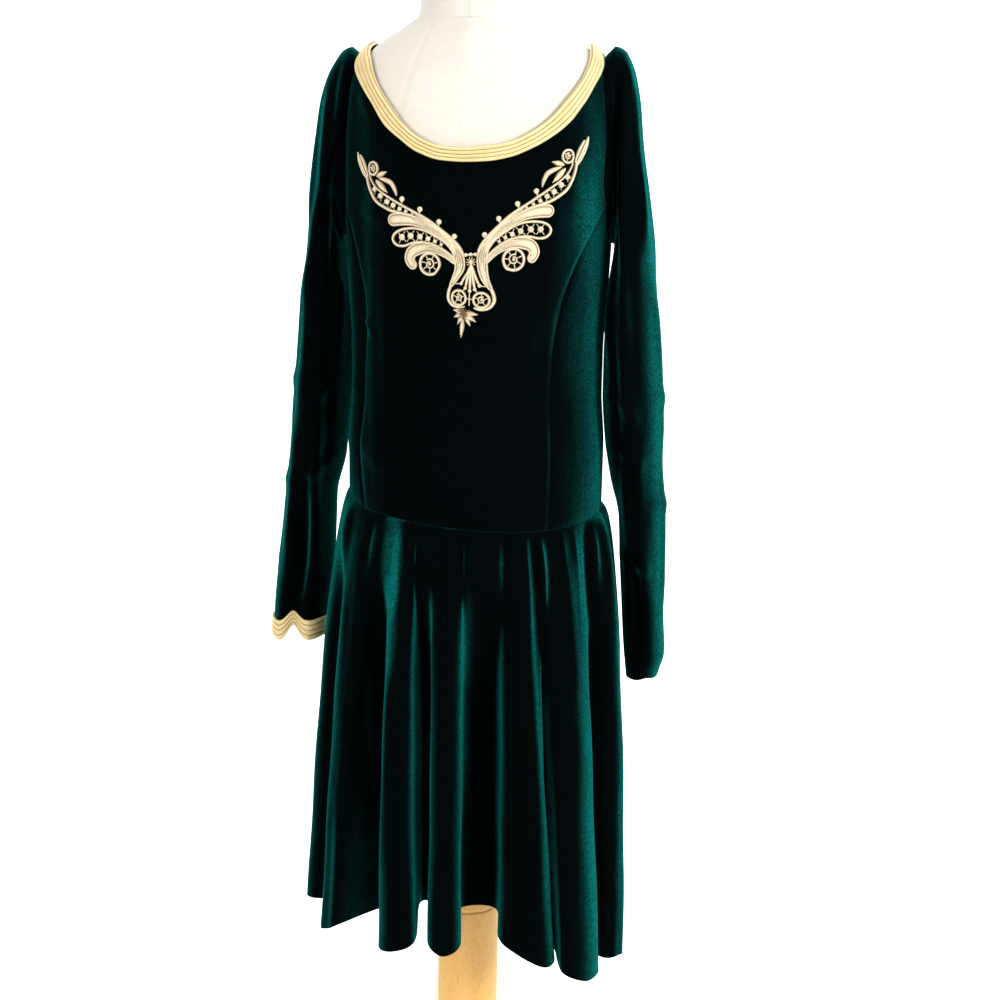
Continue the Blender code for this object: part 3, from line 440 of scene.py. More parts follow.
def make_piece(name, points, faces, uvs, material, nodes=()):
    """A smooth mesh object that rides on the model and stands for the named nodes."""
    mesh = bpy.data.meshes.new(name)
    mesh.vertices.add(len(points))
    mesh.vertices.foreach_set("co", np.asarray(points, np.float32).ravel())
    counts = np.array([len(face) for face in faces], np.int32)
    corners = np.concatenate([np.asarray(face, np.int32) for face in faces])
    mesh.loops.add(len(corners))
    mesh.loops.foreach_set("vertex_index", corners)
    mesh.polygons.add(len(faces))
    mesh.polygons.foreach_set("loop_start", np.concatenate([[0], np.cumsum(counts)[:-1]]))
    mesh.update(calc_edges=True)
    mesh.shade_smooth()
    mesh.set_sharp_from_angle(angle=SHARP_FROM)
    layer = mesh.uv_layers.new(name="cloth")
    layer.uv.foreach_set("vector", np.asarray(uvs, np.float32)[corners].ravel())
    mesh.materials.append(material)
    piece = add_object(name, mesh)
    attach(piece, "root")
    if nodes:
        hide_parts(*nodes)
    return piece


def grid_faces(rows, columns, closed, start=0, reverse=False):
    """The four-sided faces of a grid."""
    r, c = np.meshgrid(np.arange(rows - 1), np.arange(columns if closed else columns - 1),
                       indexing="ij")
    right = (c + 1) % columns
    faces = np.stack([r * columns + c, r * columns + right,
                      (r + 1) * columns + right, (r + 1) * columns + c], axis=-1).reshape(-1, 4)
    return start + (faces[:, ::-1] if reverse else faces)


def shell(name, outside, inside, material, nodes, closed=False):
    """A cloth shell between two grids, with a rim round every open edge."""
    rows, columns = outside.shape[:2]
    shift = rows * columns
    faces = [grid_faces(rows, columns, closed), grid_faces(rows, columns, closed, shift, True)]
    index = np.arange(shift).reshape(rows, columns)
    edges = [index[0], index[-1][::-1]]
    if closed:
        edges = [np.append(edge, edge[0]) for edge in edges]
    else:
        edges += [index[:, -1], index[::-1, 0]]
    for edge in edges:
        a, b = edge[:-1], edge[1:]
        faces.append(np.stack([b, a, a + shift, b + shift], axis=1))
    faces = np.concatenate(faces)
    across = line_lengths(outside, 1)
    along = line_lengths(outside, 0)
    uv = np.stack([across, along], axis=-1).reshape(-1, 2)
    points = np.concatenate([outside.reshape(-1, 3), inside.reshape(-1, 3)])
    return make_piece(name, points, faces, np.concatenate([uv, uv]), material, nodes)


print("a cloth shell is", SHELL / MM, "mm thick")

# %% [markdown]
# Cloth that hangs or is worn never lies quite smooth. A crease is a soft ridge or trough along a
# short bowed line, so one function moves a grid in or out along any number of such lines. They
# are drawn as somebody sees them, from the front, the back or a side, and fade where the cloth
# turns away.

# %% Creases
FRONT, BACK, FROM_LEFT, FROM_RIGHT = (0, 1, 0), (0, -1, 0), (-1, 0, 0), (1, 0, 0)


def crease(grid, normals, rows, looking):
    """Moves a grid along soft lines. Each row says where a line starts and ends, as places across
    and up in millimetres, then its bow sideways, its depth and its width."""
    toward = np.array(looking, float)
    across = np.abs(toward[[1, 0, 2]])
    seen = np.clip((normals @ -toward - 0.05) / 0.35, 0, 1)
    at = np.stack([grid @ across, grid[..., 2]], axis=-1) / MM
    out = np.zeros(grid.shape[:2])
    for x0, z0, x1, z1, bow, depth, width in rows:
        start, end = np.array([x0, z0], float), np.array([x1, z1], float)
        run = end - start
        length = np.linalg.norm(run)
        run /= length
        side = np.array([-run[1], run[0]])
        t = np.clip((at - start) @ run / length, -0.3, 1.3)
        off = (at - start) @ side - bow * 4 * t * (1 - t)
        fade = np.clip(np.minimum(t + 0.12, 1.12 - t) / 0.34, 0, 1)
        fade = fade * fade * (3 - 2 * fade)
        out += depth * MM * fade * np.exp(-(off / width) ** 2)
    return grid + normals * (out * seen)[..., None]


print("creases are drawn as seen along:", FRONT, BACK, FROM_LEFT, FROM_RIGHT)

# %% [markdown]
# The bodice has a front, a side front panel under each arm and a back. Panels meet in seams, and
# a seam on velvet reads as a narrow valley, because both edges turn down into it. Each panel is a
# grid stretched between its four edges, given as angles and levels on the body.

# %% Seam lines on the body
SEAM_GAP = 0.04 * MM
FINE = 6
ARMHOLE_POINTS = 24 * FINE
SIDE_TOP_POINTS = 4 * FINE
PRINCESS_STEPS = 9 * FINE
SIDE_SEAM_STEPS = 8 * FINE
STRAP_STEPS = 2 * FINE
FRONT_COLUMNS = 14 * FINE
BACK_COLUMNS = 16 * FINE
WAIST_SEAM = Table("angle level", [
    (-180, 893), (-135, 897), (-90, 899), (-45, 889), (0, 884), (40, 882), (90, 888), (135, 891),
    (180, 893),
], MM)

# The neck edge, by angle: where the trim starts and where it ends
NECK_EDGE = Table("angle inner outer", [
    (-180, 1300, 1286), (-150, 1302, 1288), (-125, 1315, 1301), (-105, 1343, 1327),
    (-90, 1350, 1336), (-81, 1345, 1324), (-68, 1330, 1306.5), (-55, 1303, 1286), (-43, 1282, 1264),
    (-33, 1266, 1252), (-22, 1254, 1240.5), (-9, 1247, 1234), (2, 1246, 1233), (15, 1248, 1234),
    (27, 1252, 1238), (38, 1261, 1246.5), (48, 1274, 1257.5), (56.5, 1290, 1270),
    (64, 1305, 1286), (72, 1323, 1304.5), (81, 1341, 1321), (90, 1350, 1336), (105, 1343, 1327),
    (125, 1315, 1301), (150, 1302, 1288), (180, 1300, 1286),
], MM)

# The armhole is a rounded loop on the side of the body
ARMHOLE_BOTTOM = 1161 * MM
ARMHOLE_TOP = 1330 * MM
ARMHOLE_FRONT = -26 * MM
ARMHOLE_BACK = 44 * MM
ARMHOLE_SQUARENESS = 2.6

# The princess seams, from the waist to the armhole: angle from the centre front
PRINCESS = Table("step right left", [
    (0.0, -55, 50), (0.2, -58.5, 50), (0.4, -58.5, 50.5), (0.575, -55, 50.5), (0.7, -52, 52),
    (0.8, -54, 56), (0.9, -60, 64), (1.0, -76, 77),
])


def waist_line(start, end, steps):
    """Angles and levels along the waist seam."""
    angles = np.linspace(start, end, steps + 1)
    return np.stack([angles, WAIST_SEAM.read("level", wrapped(angles))], axis=1)


def neck_line(start, end, steps, edge="inner"):
    """Angles and levels along an edge of the neck, at even steps along its length."""
    fine = np.linspace(start, end, 361)
    length = run_along(dress_point(fine, NECK_EDGE.read(edge, wrapped(fine))))
    at = np.interp(np.linspace(0, length[-1], steps + 1), length, fine)
    return np.stack([at, NECK_EDGE.read(edge, wrapped(at))], axis=1)


def angle_at(y, level, side):
    """The angle where the velvet's outside lies at the given y, on one side of the body."""
    angles = np.linspace(35, 150, 231)
    found = [np.interp(a_y, dress_point(angles, a_level)[:, 1], angles)
             for a_y, a_level in zip(np.ravel(y), np.ravel(level))]
    return side * np.array(found)


def armhole_loop(side, inset=0.0):
    """Angles and levels round an armhole: underarm first, then the front, the top, the back."""
    turn = np.linspace(0, 2 * math.pi, ARMHOLE_POINTS, endpoint=False)
    power = 2 / ARMHOLE_SQUARENESS
    half_height = (ARMHOLE_TOP - ARMHOLE_BOTTOM) / 2 - inset
    rise = -np.sign(np.cos(turn)) * np.abs(np.cos(turn)) ** power
    level = (ARMHOLE_TOP + ARMHOLE_BOTTOM) / 2 + half_height * rise
    half_depth = np.where(np.sin(turn) > 0, -ARMHOLE_FRONT, ARMHOLE_BACK) - inset
    y = -np.sign(np.sin(turn)) * np.abs(np.sin(turn)) ** power * half_depth
    angle = angle_at(y, level, side)
    angle[[0, ARMHOLE_POINTS // 2]] = side * 90
    return np.stack([angle, level], axis=1)


def princess_line(side):
    """Angles and levels up a princess seam, to its place on the armhole."""
    end = armhole_loop(side)[SIDE_TOP_POINTS]
    step = np.linspace(0, 1, PRINCESS_STEPS + 1)
    angle = PRINCESS.read("right" if side < 0 else "left", step)
    angle += (end[0] - angle[-1]) * step ** 6
    foot = WAIST_SEAM.read("level", angle[0])
    return np.stack([angle, foot + (end[1] - foot) * step], axis=1)


def upright_line(side, low, high, steps):
    """A line straight up one side of the body."""
    return np.stack([np.full(steps + 1, side * 90.0), np.linspace(low, high, steps + 1)], axis=1)


def strap_line(side):
    """The shoulder seam, from the top of the armhole to the neck edge."""
    return upright_line(side, ARMHOLE_TOP, NECK_EDGE.read("inner", side * 90), STRAP_STEPS)[1:]


def pull_in(grid, sides="btlr", gap=SEAM_GAP / 2):
    """Draw the edges of a grid of points in by half a seam gap."""
    grid = grid.copy()
    pairs = {"b": (grid[0], grid[1]), "t": (grid[-1], grid[-2]),
             "l": (grid[:, 0], grid[:, 1]), "r": (grid[:, -1], grid[:, -2])}
    for side in sides:
        edge, beside = pairs[side]
        edge += unit(beside - edge) * gap
    return grid


def coons(bottom, top, left, right):
    """A grid between four edges. Rows run from bottom to top, columns from left to right."""
    t = np.linspace(0, 1, len(bottom))[None, :, None]
    v = np.linspace(0, 1, len(left))[:, None, None]
    between_sides = (1 - t) * left[:, None] + t * right[:, None]
    between_ends = (1 - v) * bottom[None] + v * top[None]
    corners = ((1 - t) * (1 - v) * bottom[0] + t * (1 - v) * bottom[-1]
               + (1 - t) * v * top[0] + t * v * top[-1])
    return between_sides + between_ends - corners


print("armhole points:", [len(armhole_loop(side)) for side in (-1, 1)])

# %% [markdown]
# Even a close bodice isn't a smooth egg. It drags a little from the bust to the armhole, eases
# over the hip and puckers beside its seams. These lines are put in one by one, each with its own
# length, depth and width, as places on the dress in millimetres.

# %% Bodice panels
SEAM_SINK = 0.9 * MM
SEAM_VALLEY = 2.4 * MM
# x and z at the start and the end, sideways bow, depth outwards, width
BODICE_FRONT_CREASES = (
    (-104, 1080, -88, 1070, 2, 1.6, 3.0),
    (-108, 1074, -92, 1064, 2, -1.4, 3.0),
    (-100, 1190, -60, 1160, 5, 0.9, 7.0),
    (100, 1184, 62, 1158, -5, 0.9, 7.0),
    (96, 1040, 60, 1052, 4, 0.8, 6.0),
    (-96, 1030, -58, 1044, -4, 0.8, 6.0),
    (104, 960, 70, 930, 6, 1.1, 8.0),
    (-104, 966, -66, 934, -6, 1.1, 8.0),
    (-40, 1010, 30, 1002, 3, 0.5, 9.0),
    (86, 1100, 84, 930, 3, 0.8, 5.0),
    (-88, 1110, -84, 930, -3, 0.6, 6.0),
    (-116, 1300, -92, 1268, 3, 0.9, 4.0),
    (116, 1296, 94, 1262, -3, 0.9, 4.0),
)
BODICE_BACK_CREASES = (
    (-86, 1080, -50, 1064, 4, 1.1, 7.0),
    (84, 1074, 46, 1060, -4, 1.0, 7.0),
    (-70, 1030, -20, 1022, 5, 1.2, 8.0),
    (74, 1034, 18, 1020, -5, 1.3, 8.0),
    (-60, 990, 10, 984, 4, 0.9, 9.0),
    (90, 1180, 50, 1150, -6, 0.8, 8.0),
    (-92, 1188, -48, 1152, 6, 0.9, 8.0),
)
BODICE_SIDE_CREASES = (
    (-30, 1120, 20, 1104, 3, 1.0, 6.0),
    (-40, 1050, 10, 1040, 3, 0.9, 7.0),
    (-44, 1010, 16, 1016, -3, 0.8, 7.0),
    (-36, 950, 24, 938, 4, 0.9, 8.0),
)


def sink_edges(grid, normals, sides, depth=SEAM_SINK, width=SEAM_VALLEY):
    """Turns the named edges of a panel down into their seams."""
    across, along = line_lengths(grid, 1), line_lengths(grid, 0)
    away = {"l": across, "r": across[:, -1:] - across, "b": along, "t": along[-1:] - along}
    down = sum(np.exp(-(away[side] / width) ** 2) for side in sides)
    return grid - normals * (depth * np.minimum(down, 1))[..., None]


def panel(name, edges, seams, creases, material=velvet_body):
    """A bodice panel between four edges, sunk along its seams and creased."""
    grid = coons(*edges)
    shaped = pull_in(dress_point(grid[..., 0], grid[..., 1]))
    normals = body_normal(grid[..., 0], grid[..., 1])
    for rows, looking in creases:
        shaped = crease(shaped, normals, rows, looking)
    shaped = sink_edges(shaped, normals, seams)
    inside = shaped - normals * SHELL
    return shell(name + "_cloth", shaped, inside, material, [name]), shaped


def front_panel():
    """The centre front with its straps, between the princess seams."""
    edges = [np.concatenate([princess_line(side),
                             armhole_loop(side)[SIDE_TOP_POINTS + 1:ARMHOLE_POINTS // 2 + 1],
                             strap_line(side)]) for side in (-1, 1)]
    bottom = waist_line(edges[0][0, 0], edges[1][0, 0], FRONT_COLUMNS)
    return panel("bodice_front", (bottom, neck_line(-90, 90, FRONT_COLUMNS), *edges), "blr",
                 [(BODICE_FRONT_CREASES, FRONT)])


def side_panel(name, side):
    """A side front, from the princess seam to the side seam."""
    seam = princess_line(side)
    top = armhole_loop(side)[SIDE_TOP_POINTS::-1]
    bottom = waist_line(seam[0, 0], side * 90, SIDE_TOP_POINTS)
    side_seam = upright_line(side, bottom[-1, 1], top[-1, 1], PRINCESS_STEPS)
    edges = (bottom, top, seam, side_seam)
    if side < 0:
        edges = (bottom[::-1], top[::-1], side_seam, seam)
    looking = FROM_LEFT if side > 0 else FROM_RIGHT
    # the side panels take the darker copy of the velvet, with its painted shade
    return panel(name, edges, "btlr", [(BODICE_SIDE_CREASES, looking)], velvet_side_shaded)


def back_panel():
    """The back, from side seam to side seam."""
    edges = []
    for side in (1, -1):
        foot = WAIST_SEAM.read("level", side * 90)
        line = np.concatenate([upright_line(side, foot, ARMHOLE_BOTTOM, SIDE_SEAM_STEPS),
                               armhole_loop(side)[:ARMHOLE_POINTS // 2 - 1:-1], strap_line(side)])
        line[:, 0] += 360 if side < 0 else 0
        edges.append(line)
    bottom, top = waist_line(90, 270, BACK_COLUMNS), neck_line(90, 270, BACK_COLUMNS)
    return panel("bodice_back", (bottom, top, *edges), "blr", [(BODICE_BACK_CREASES, BACK)])


bodice = {"bodice_front": front_panel(),
          "bodice_side_right": side_panel("bodice_side_right", -1),
          "bodice_side_left": side_panel("bodice_side_left", 1),
          "bodice_back": back_panel()}
print("bodice panels:", sorted(bodice))

# %% [markdown]
# The skirt is cut nearly as a full circle, so its hem is much longer than its waist seam and the
# spare cloth hangs in tubes with deep valleys between. A table follows lines down the skirt, three
# or four to a tube and one or two to a valley, and one smooth curve runs round through them.
# The lines of a fold swing out together, and those of its valleys tuck in under it further down.

# %% Fold lines
# Each row is one line down the skirt: its angle at the seam, its angle, reach and height at the
# hem, how slowly it moves out, and 1 where it lies in a valley. Angles turn to the wearer's left
FOLDS = Table("start angle reach hem spring valley", [
    (-174, -177, 158, 445, 0.52, 0), (-168, -171, 167, 442, 0.52, 0),
    (-163, -165, 158, 444, 0.52, 0),
    (-159, -164, 84, 460, 1.1, 1), (-154, -154, 80, 462, 1.1, 1),
    (-151, -153, 162, 443, 0.52, 0), (-146, -147, 173, 440, 0.52, 0),
    (-141, -141, 161, 443, 0.52, 0),
    (-137, -141, 84, 460, 1.1, 1), (-131, -131, 80, 461, 1.1, 1),
    (-128, -129, 158, 441, 0.54, 0), (-123, -124, 169, 438, 0.54, 0),
    (-118, -118, 159, 440, 0.54, 0),
    (-115, -117, 92, 455, 1.1, 1), (-110, -108, 86, 456, 1.1, 1),
    (-108, -108, 158, 436, 0.56, 0), (-104, -103, 167, 434, 0.56, 0), (-99, -98, 158, 437, 0.56, 0),
    (-91.5, -93, 104, 446, 1.1, 1),
    (-84, -86, 169, 441, 0.58, 0), (-79, -80, 178, 440, 0.58, 0), (-73, -74, 168, 442, 0.58, 0),
    (-66, -67, 118, 447, 1.1, 1),
    (-59, -56.5, 166, 437, 0.58, 0), (-52, -50, 168, 442, 0.58, 0),
    (-45.5, -45.5, 160, 451, 0.6, 0),
    (-41, -46.5, 112, 455, 0.9, 1), (-36.5, -39, 92, 458, 1.1, 1),
    (-33, -28.5, 143, 443, 0.56, 0), (-27, -18.5, 156, 447, 0.56, 0),
    (-21, -10.5, 141, 457, 0.6, 0),
    (-17.5, -30, 77, 462, 1.1, 1), (-12, -15, 75, 463, 1.1, 1),
    (-7, -6.2, 134, 456, 0.55, 0), (-1, 2, 150, 450.5, 0.55, 0), (4.5, 8.7, 134, 456.5, 0.6, 0),
    (9, 3.5, 76, 465, 1.1, 1), (22, 33, 77, 465, 1.1, 1),
    (28, 25.8, 128, 460, 0.55, 0), (32, 30.5, 149, 452, 0.55, 0), (37, 38.5, 168, 442, 0.7, 0),
    (42, 44, 165, 442, 0.95, 0), (44.5, 48, 150, 446, 1.1, 1),
    (48, 44, 179, 437, 0.8, 0), (57, 50, 191, 427, 0.7, 0), (66, 56.5, 187, 424, 0.8, 0),
    (71, 61.5, 176, 424, 0.95, 0), (73.5, 63, 146, 434, 1.1, 1),
    (76, 66.5, 172, 425, 0.42, 0), (80, 70.5, 183, 425, 0.38, 0), (84, 76.5, 176, 424, 0.42, 0),
    (88, 84, 106, 440, 1.1, 1),
    (94, 93, 158, 437, 0.42, 0), (99, 99, 168, 434, 0.42, 0), (104, 105, 158, 437, 0.42, 0),
    (108, 105, 90, 455, 1.1, 1), (113, 114, 85, 457, 1.1, 1),
    (116, 115, 162, 442, 0.48, 0), (120, 121, 172, 439, 0.48, 0), (125, 126, 162, 442, 0.48, 0),
    (129, 127, 86, 459, 1.1, 1), (135, 136, 80, 461, 1.1, 1),
    (138, 138, 158, 443, 0.48, 0), (142, 143, 168, 441, 0.48, 0), (147, 149, 158, 443, 0.48, 0),
    (151, 150, 88, 460, 1.1, 1), (158, 159, 83, 462, 1.1, 1),
    (162, 161, 161, 443, 0.5, 0), (167, 166, 171, 441, 0.5, 0), (172, 172, 161, 443, 0.5, 0),
    (176, 173, 86, 461, 1.1, 1), (181, 181, 82, 463, 1.1, 1),
])
RIGHT_SEAM_AT, LEFT_SEAM_AT = -93, 84   # hem angles of the valleys with the side seams
HIP_SPRING = 13 * MM            # how far a valley springs out just under the seam
HIP_SPRING_AT = 0.10            # how far down that is greatest, of the skirt's length
WAIST_TUCK = 0.5 * MM           # how far the skirt's edge goes in under the bodice's
FOLD_TURN = 0.6                 # how soon the lines of a fold swing out together
TUCK_TURN = 1.3                 # how soon its valley lines tuck in under it
SKIRT_ROWS = 76
POINTS_PER_STEP = 10


def between(p0, p1, p2, p3, t):
    """A point on the smooth curve from p1 to p2 that comes from p0 and goes on to p3."""
    return 0.5 * (2 * p1 + (p2 - p0) * t + (2 * p0 - 5 * p1 + 4 * p2 - p3) * t * t
                  + (3 * p1 - p0 - 3 * p2 + p3) * t ** 3)


def curve_through(controls, per_step):
    """A smooth closed curve through rows of numbers, with even steps between each two."""
    around = np.concatenate([controls[-1:], controls, controls[:2]])
    return np.array([between(*around[i:i + 4], step / per_step)
                     for i in range(len(controls)) for step in range(per_step)])


def skirt_rows():
    """How far down each ring of the skirt lies, closer together under the seam."""
    return np.linspace(0, 1, SKIRT_ROWS) ** 1.35


def skirt_grid():
    """The skirt's outside, ring by ring from the waist seam to the hem."""
    start, hem_angle, reach, hem, spring, valley = [FOLDS.column(name) for name in FOLDS.columns]
    seam = dress_point(start, WAIST_SEAM.read("level", wrapped(start)))
    seam_reach = np.hypot(seam[:, 0], seam[:, 1])
    growth = reach * MM - seam_reach
    swing = hem_angle - start
    shared = sum(np.roll(swing, k) for k in (-2, -1, 0, 1, 2)) / 5
    grid = []
    for down in skirt_rows():
        turned = shared * down ** FOLD_TURN + (swing - shared) * down ** TUCK_TURN
        angle = np.radians(start + turned)
        bump = down / HIP_SPRING_AT * math.exp(1 - down / HIP_SPRING_AT)
        out = seam_reach + growth * down ** spring + valley * HIP_SPRING * bump
        height = seam[:, 2] + (hem * MM - seam[:, 2]) * down
        ring = np.stack([out * np.sin(angle), -out * np.cos(angle), height], axis=1)
        grid.append(curve_through(ring, POINTS_PER_STEP))
    steps = np.arange(len(start) * POINTS_PER_STEP) / POINTS_PER_STEP
    around = np.interp(steps, np.arange(len(start) + 1), np.append(start, start[0] + 360))
    tucked = WAIST_SEAM.read("level", wrapped(around)) + WAIST_TUCK
    grid[0] = dress_point(around, tucked, VELVET - WAIST_TUCK)
    return np.array(grid), around


print("fold lines:", len(FOLDS.rows))

# %% [markdown]
# Short gathers under the seam fade within a hand's width, and slow waves and creases run down the
# tubes. They are put on the finished grid, each in its own place. The ring of cloth is then parted
# in the two valleys beside the side seams, and the hem shows the line of its stitches.

# %% Skirt
# angle under the seam, half width in degrees, depth in millimetres, and how far down it swells
GATHERS = (
    (-172, 3.0, 1.6, 0.07), (-160, 2.4, 1.2, 0.05), (-151, 3.2, 1.8, 0.09), (-133, 2.6, 1.4, 0.06),
    (-118, 3.0, 1.7, 0.08), (-99, 2.2, 1.3, 0.05), (-86, 2.8, 1.6, 0.08), (-73, 2.0, 1.3, 0.05),
    (-63, 2.4, 1.6, 0.08), (-49, 1.8, 1.2, 0.05), (-38, 2.2, 1.5, 0.07), (-20, 1.8, 1.1, 0.05),
    (-7, 1.6, 0.9, 0.04), (9, 1.8, 1.1, 0.05), (20, 1.6, 1.2, 0.06), (31, 2.0, 1.6, 0.08),
    (38.5, 1.5, 1.5, 0.05), (47, 1.6, 1.9, 0.06), (56, 1.5, 1.8, 0.05), (63, 1.6, 1.7, 0.06),
    (79, 2.2, 1.5, 0.07), (92, 2.6, 1.6, 0.07), (108, 2.4, 1.3, 0.05), (126, 3.0, 1.8, 0.09),
    (147, 2.6, 1.4, 0.06), (161, 3.0, 1.7, 0.08),
)
SKIRT_FRONT_CREASES = (
    (-118, 830, -126, 560, 4, 1.6, 6.0),
    (-84, 850, -92, 640, -3, 1.3, 5.0),
    (-58, 800, -70, 520, 4, 1.4, 6.0),
    (-16, 850, -20, 640, 2, 1.2, 5.0),
    (28, 852, 30, 700, -2, 1.1, 4.0),
    (74, 850, 92, 700, 3, 1.5, 5.0),
    (86, 700, 98, 500, 4, 1.5, 6.0),
    (112, 852, 128, 720, -3, 1.4, 5.0),
    (126, 640, 134, 480, 3, 1.2, 6.0),
)
SKIRT_BACK_CREASES = (
    (-110, 840, -120, 600, -4, 1.5, 6.0),
    (-66, 820, -76, 560, 3, 1.4, 6.0),
    (-20, 850, -24, 640, -3, 1.3, 5.0),
    (26, 830, 30, 560, 3, 1.4, 6.0),
    (70, 850, 82, 650, -3, 1.3, 5.0),
    (104, 800, 120, 540, 4, 1.5, 6.0),
)
WAVE_HEIGHTS = (37 * MM, 61 * MM)           # slow waves down the cloth
WAVE_DEPTH = 0.9 * MM
HEM_TURN = 11 * MM              # how far up the hem's stitches lie, and the groove they pull in
HEM_GROOVE = 1.3 * MM
HEM_SINK = 0.35 * MM


def gathered(grid, start):
    """The skirt with its short gathers under the seam."""
    down = skirt_rows()[:, None]
    out = np.zeros(grid.shape[:2])
    for angle, half_width, depth, swell in GATHERS:
        off = wrapped(start - angle)[None, :]
        fade = down / swell * np.exp(1 - down / swell)
        out += depth * MM * fade * np.exp(-(off / half_width) ** 2)
    out -= out.mean(axis=1, keepdims=True)
    grid = grid.copy()
    grid[..., :2] += unit(grid[..., :2]) * out[..., None]
    return grid


def make_skirt():
    """Front and back of the skirt, parted in the valleys beside the side seams."""
    grid, start = skirt_grid()
    grid = gathered(grid, start)[::-1]
    normals = grid_normals(grid, closed=True)
    slow = (np.sin(grid[..., 2] / WAVE_HEIGHTS[0] + np.radians(start) * 9)
            * np.sin(grid[..., 2] / WAVE_HEIGHTS[1] - np.radians(start) * 5 + 1.3))
    height = (grid[-1, :, 2] - grid[..., 2]) / (grid[-1, :, 2] - grid[0, :, 2])
    grid = grid + normals * (slow * WAVE_DEPTH * np.clip(height * 3, 0, 1))[..., None]
    grid = crease(grid, normals, SKIRT_FRONT_CREASES, FRONT)
    grid = crease(grid, normals, SKIRT_BACK_CREASES, BACK)
    along = line_lengths(grid, 0)
    stitched = np.exp(-((along - HEM_TURN) / HEM_GROOVE) ** 2)
    grid = grid - normals * (stitched * HEM_SINK)[..., None]
    inside = grid - normals * SHELL
    inside[-1] = grid[-1] - unit(grid[-1] * (1, 1, 0)) * SHELL
    count = grid.shape[1]
    right_seam, left_seam = [int(np.argmin(abs(FOLDS.column("angle") - at))) * POINTS_PER_STEP
                             for at in (RIGHT_SEAM_AT, LEFT_SEAM_AT)]
    picks = {"skirt_front": np.arange(right_seam, left_seam + 1),
             "skirt_back": np.arange(left_seam, right_seam + count + 1) % count}
    made = {}
    for name, pick in picks.items():
        outside = pull_in(grid[:, pick], "lr")
        outside = sink_edges(outside, normals[:, pick], "lr")
        lining = pull_in(inside[:, pick], "lr") + outside - grid[:, pick]
        piece = shell(name + "_cloth", outside, lining, velvet_skirt, [name])
        made[name] = piece, outside
    return made


skirt = make_skirt()
print("skirt points:", [len(piece.data.vertices) for piece, _ in skirt.values()])

# %% [markdown]
# A sleeve is a tube from the armhole to the cuff. It hangs from the shoulder, so long soft folds
# run down it from the sleeve cap, and shorter ones gather inside the elbow.

# %% Sleeve tables
SLEEVE_RIGHT = Table("ring inner_x inner_z outer_x outer_z front back middle dent", [
    (0, 132, 1161, 118, 1333, 26, 44, 0, 0),
    (1, 136, 1156, 130, 1338, 29, 45, 1, 0),
    (2, 139, 1150, 139, 1335, 32, 45, 3, 0),
    (3, 140, 1142, 149, 1320, 34, 45, 5, 1),
    (4, 139, 1130, 158, 1297, 36, 45, 7, 2),
    (5, 137, 1112, 165, 1260, 38, 45, 9, 3),
    (6, 133, 1087, 173, 1208, 40, 45, 11, 3),
    (7, 131, 1054, 181, 1128, 41, 44, 13, 2),
    (8, 134, 1013, 189, 1040, 40, 42, 15, 0),
    (9, 139, 968, 196, 974, 38, 40, 17, 0),
    (10, 146, 920, 202, 916, 36, 38, 20, 2),
    (11, 156, 880, 208, 875, 34, 36, 23, 5),
    (12, 158, 842, 213, 838, 33, 34, 25, 8),
    (13, 160, 803, 219, 801, 32, 33, 26, 10),
    (14, 164, 764, 225, 760, 31, 32, 26, 12),
    (15, 168, 724, 227, 722, 31, 32, 26, 13),
], MM)
SLEEVE_LEFT = Table("ring inner_x inner_z outer_x outer_z front back middle dent", [
    (0, 132, 1161, 118, 1333, 26, 44, 0, 0),
    (1, 135, 1156, 129, 1341, 29, 45, 0, 0),
    (2, 136, 1150, 139, 1337, 32, 45, 0, 3),
    (3, 136, 1142, 146, 1323, 34, 46, 0, 4),
    (4, 135, 1130, 151, 1295, 36, 47, 0, 5),
    (5, 133, 1112, 156, 1252, 38, 46, 0, 5),
    (6, 131, 1087, 165, 1200, 40, 45, 0, 4),
    (7, 128.5, 1054, 176, 1130, 41, 44, 0, 3),
    (8, 128.5, 1013, 184, 1040, 40, 43, 1, 2),
    (9, 131.5, 968, 188, 972, 38, 42, 3, 2),
    (10, 138, 922, 190, 922, 36, 38, 11, 2),
    (11, 147, 880, 193, 872, 34, 36, 18, 3),
    (12, 149, 835, 194, 822, 33, 34, 23, 3),
    (13, 152, 790, 196, 775, 32, 33, 26, 3),
    (14, 156, 740, 199, 733, 32, 33, 26, 3),
    (15, 160, 706, 195, 716, 27, 28, 26, 2),
], MM)
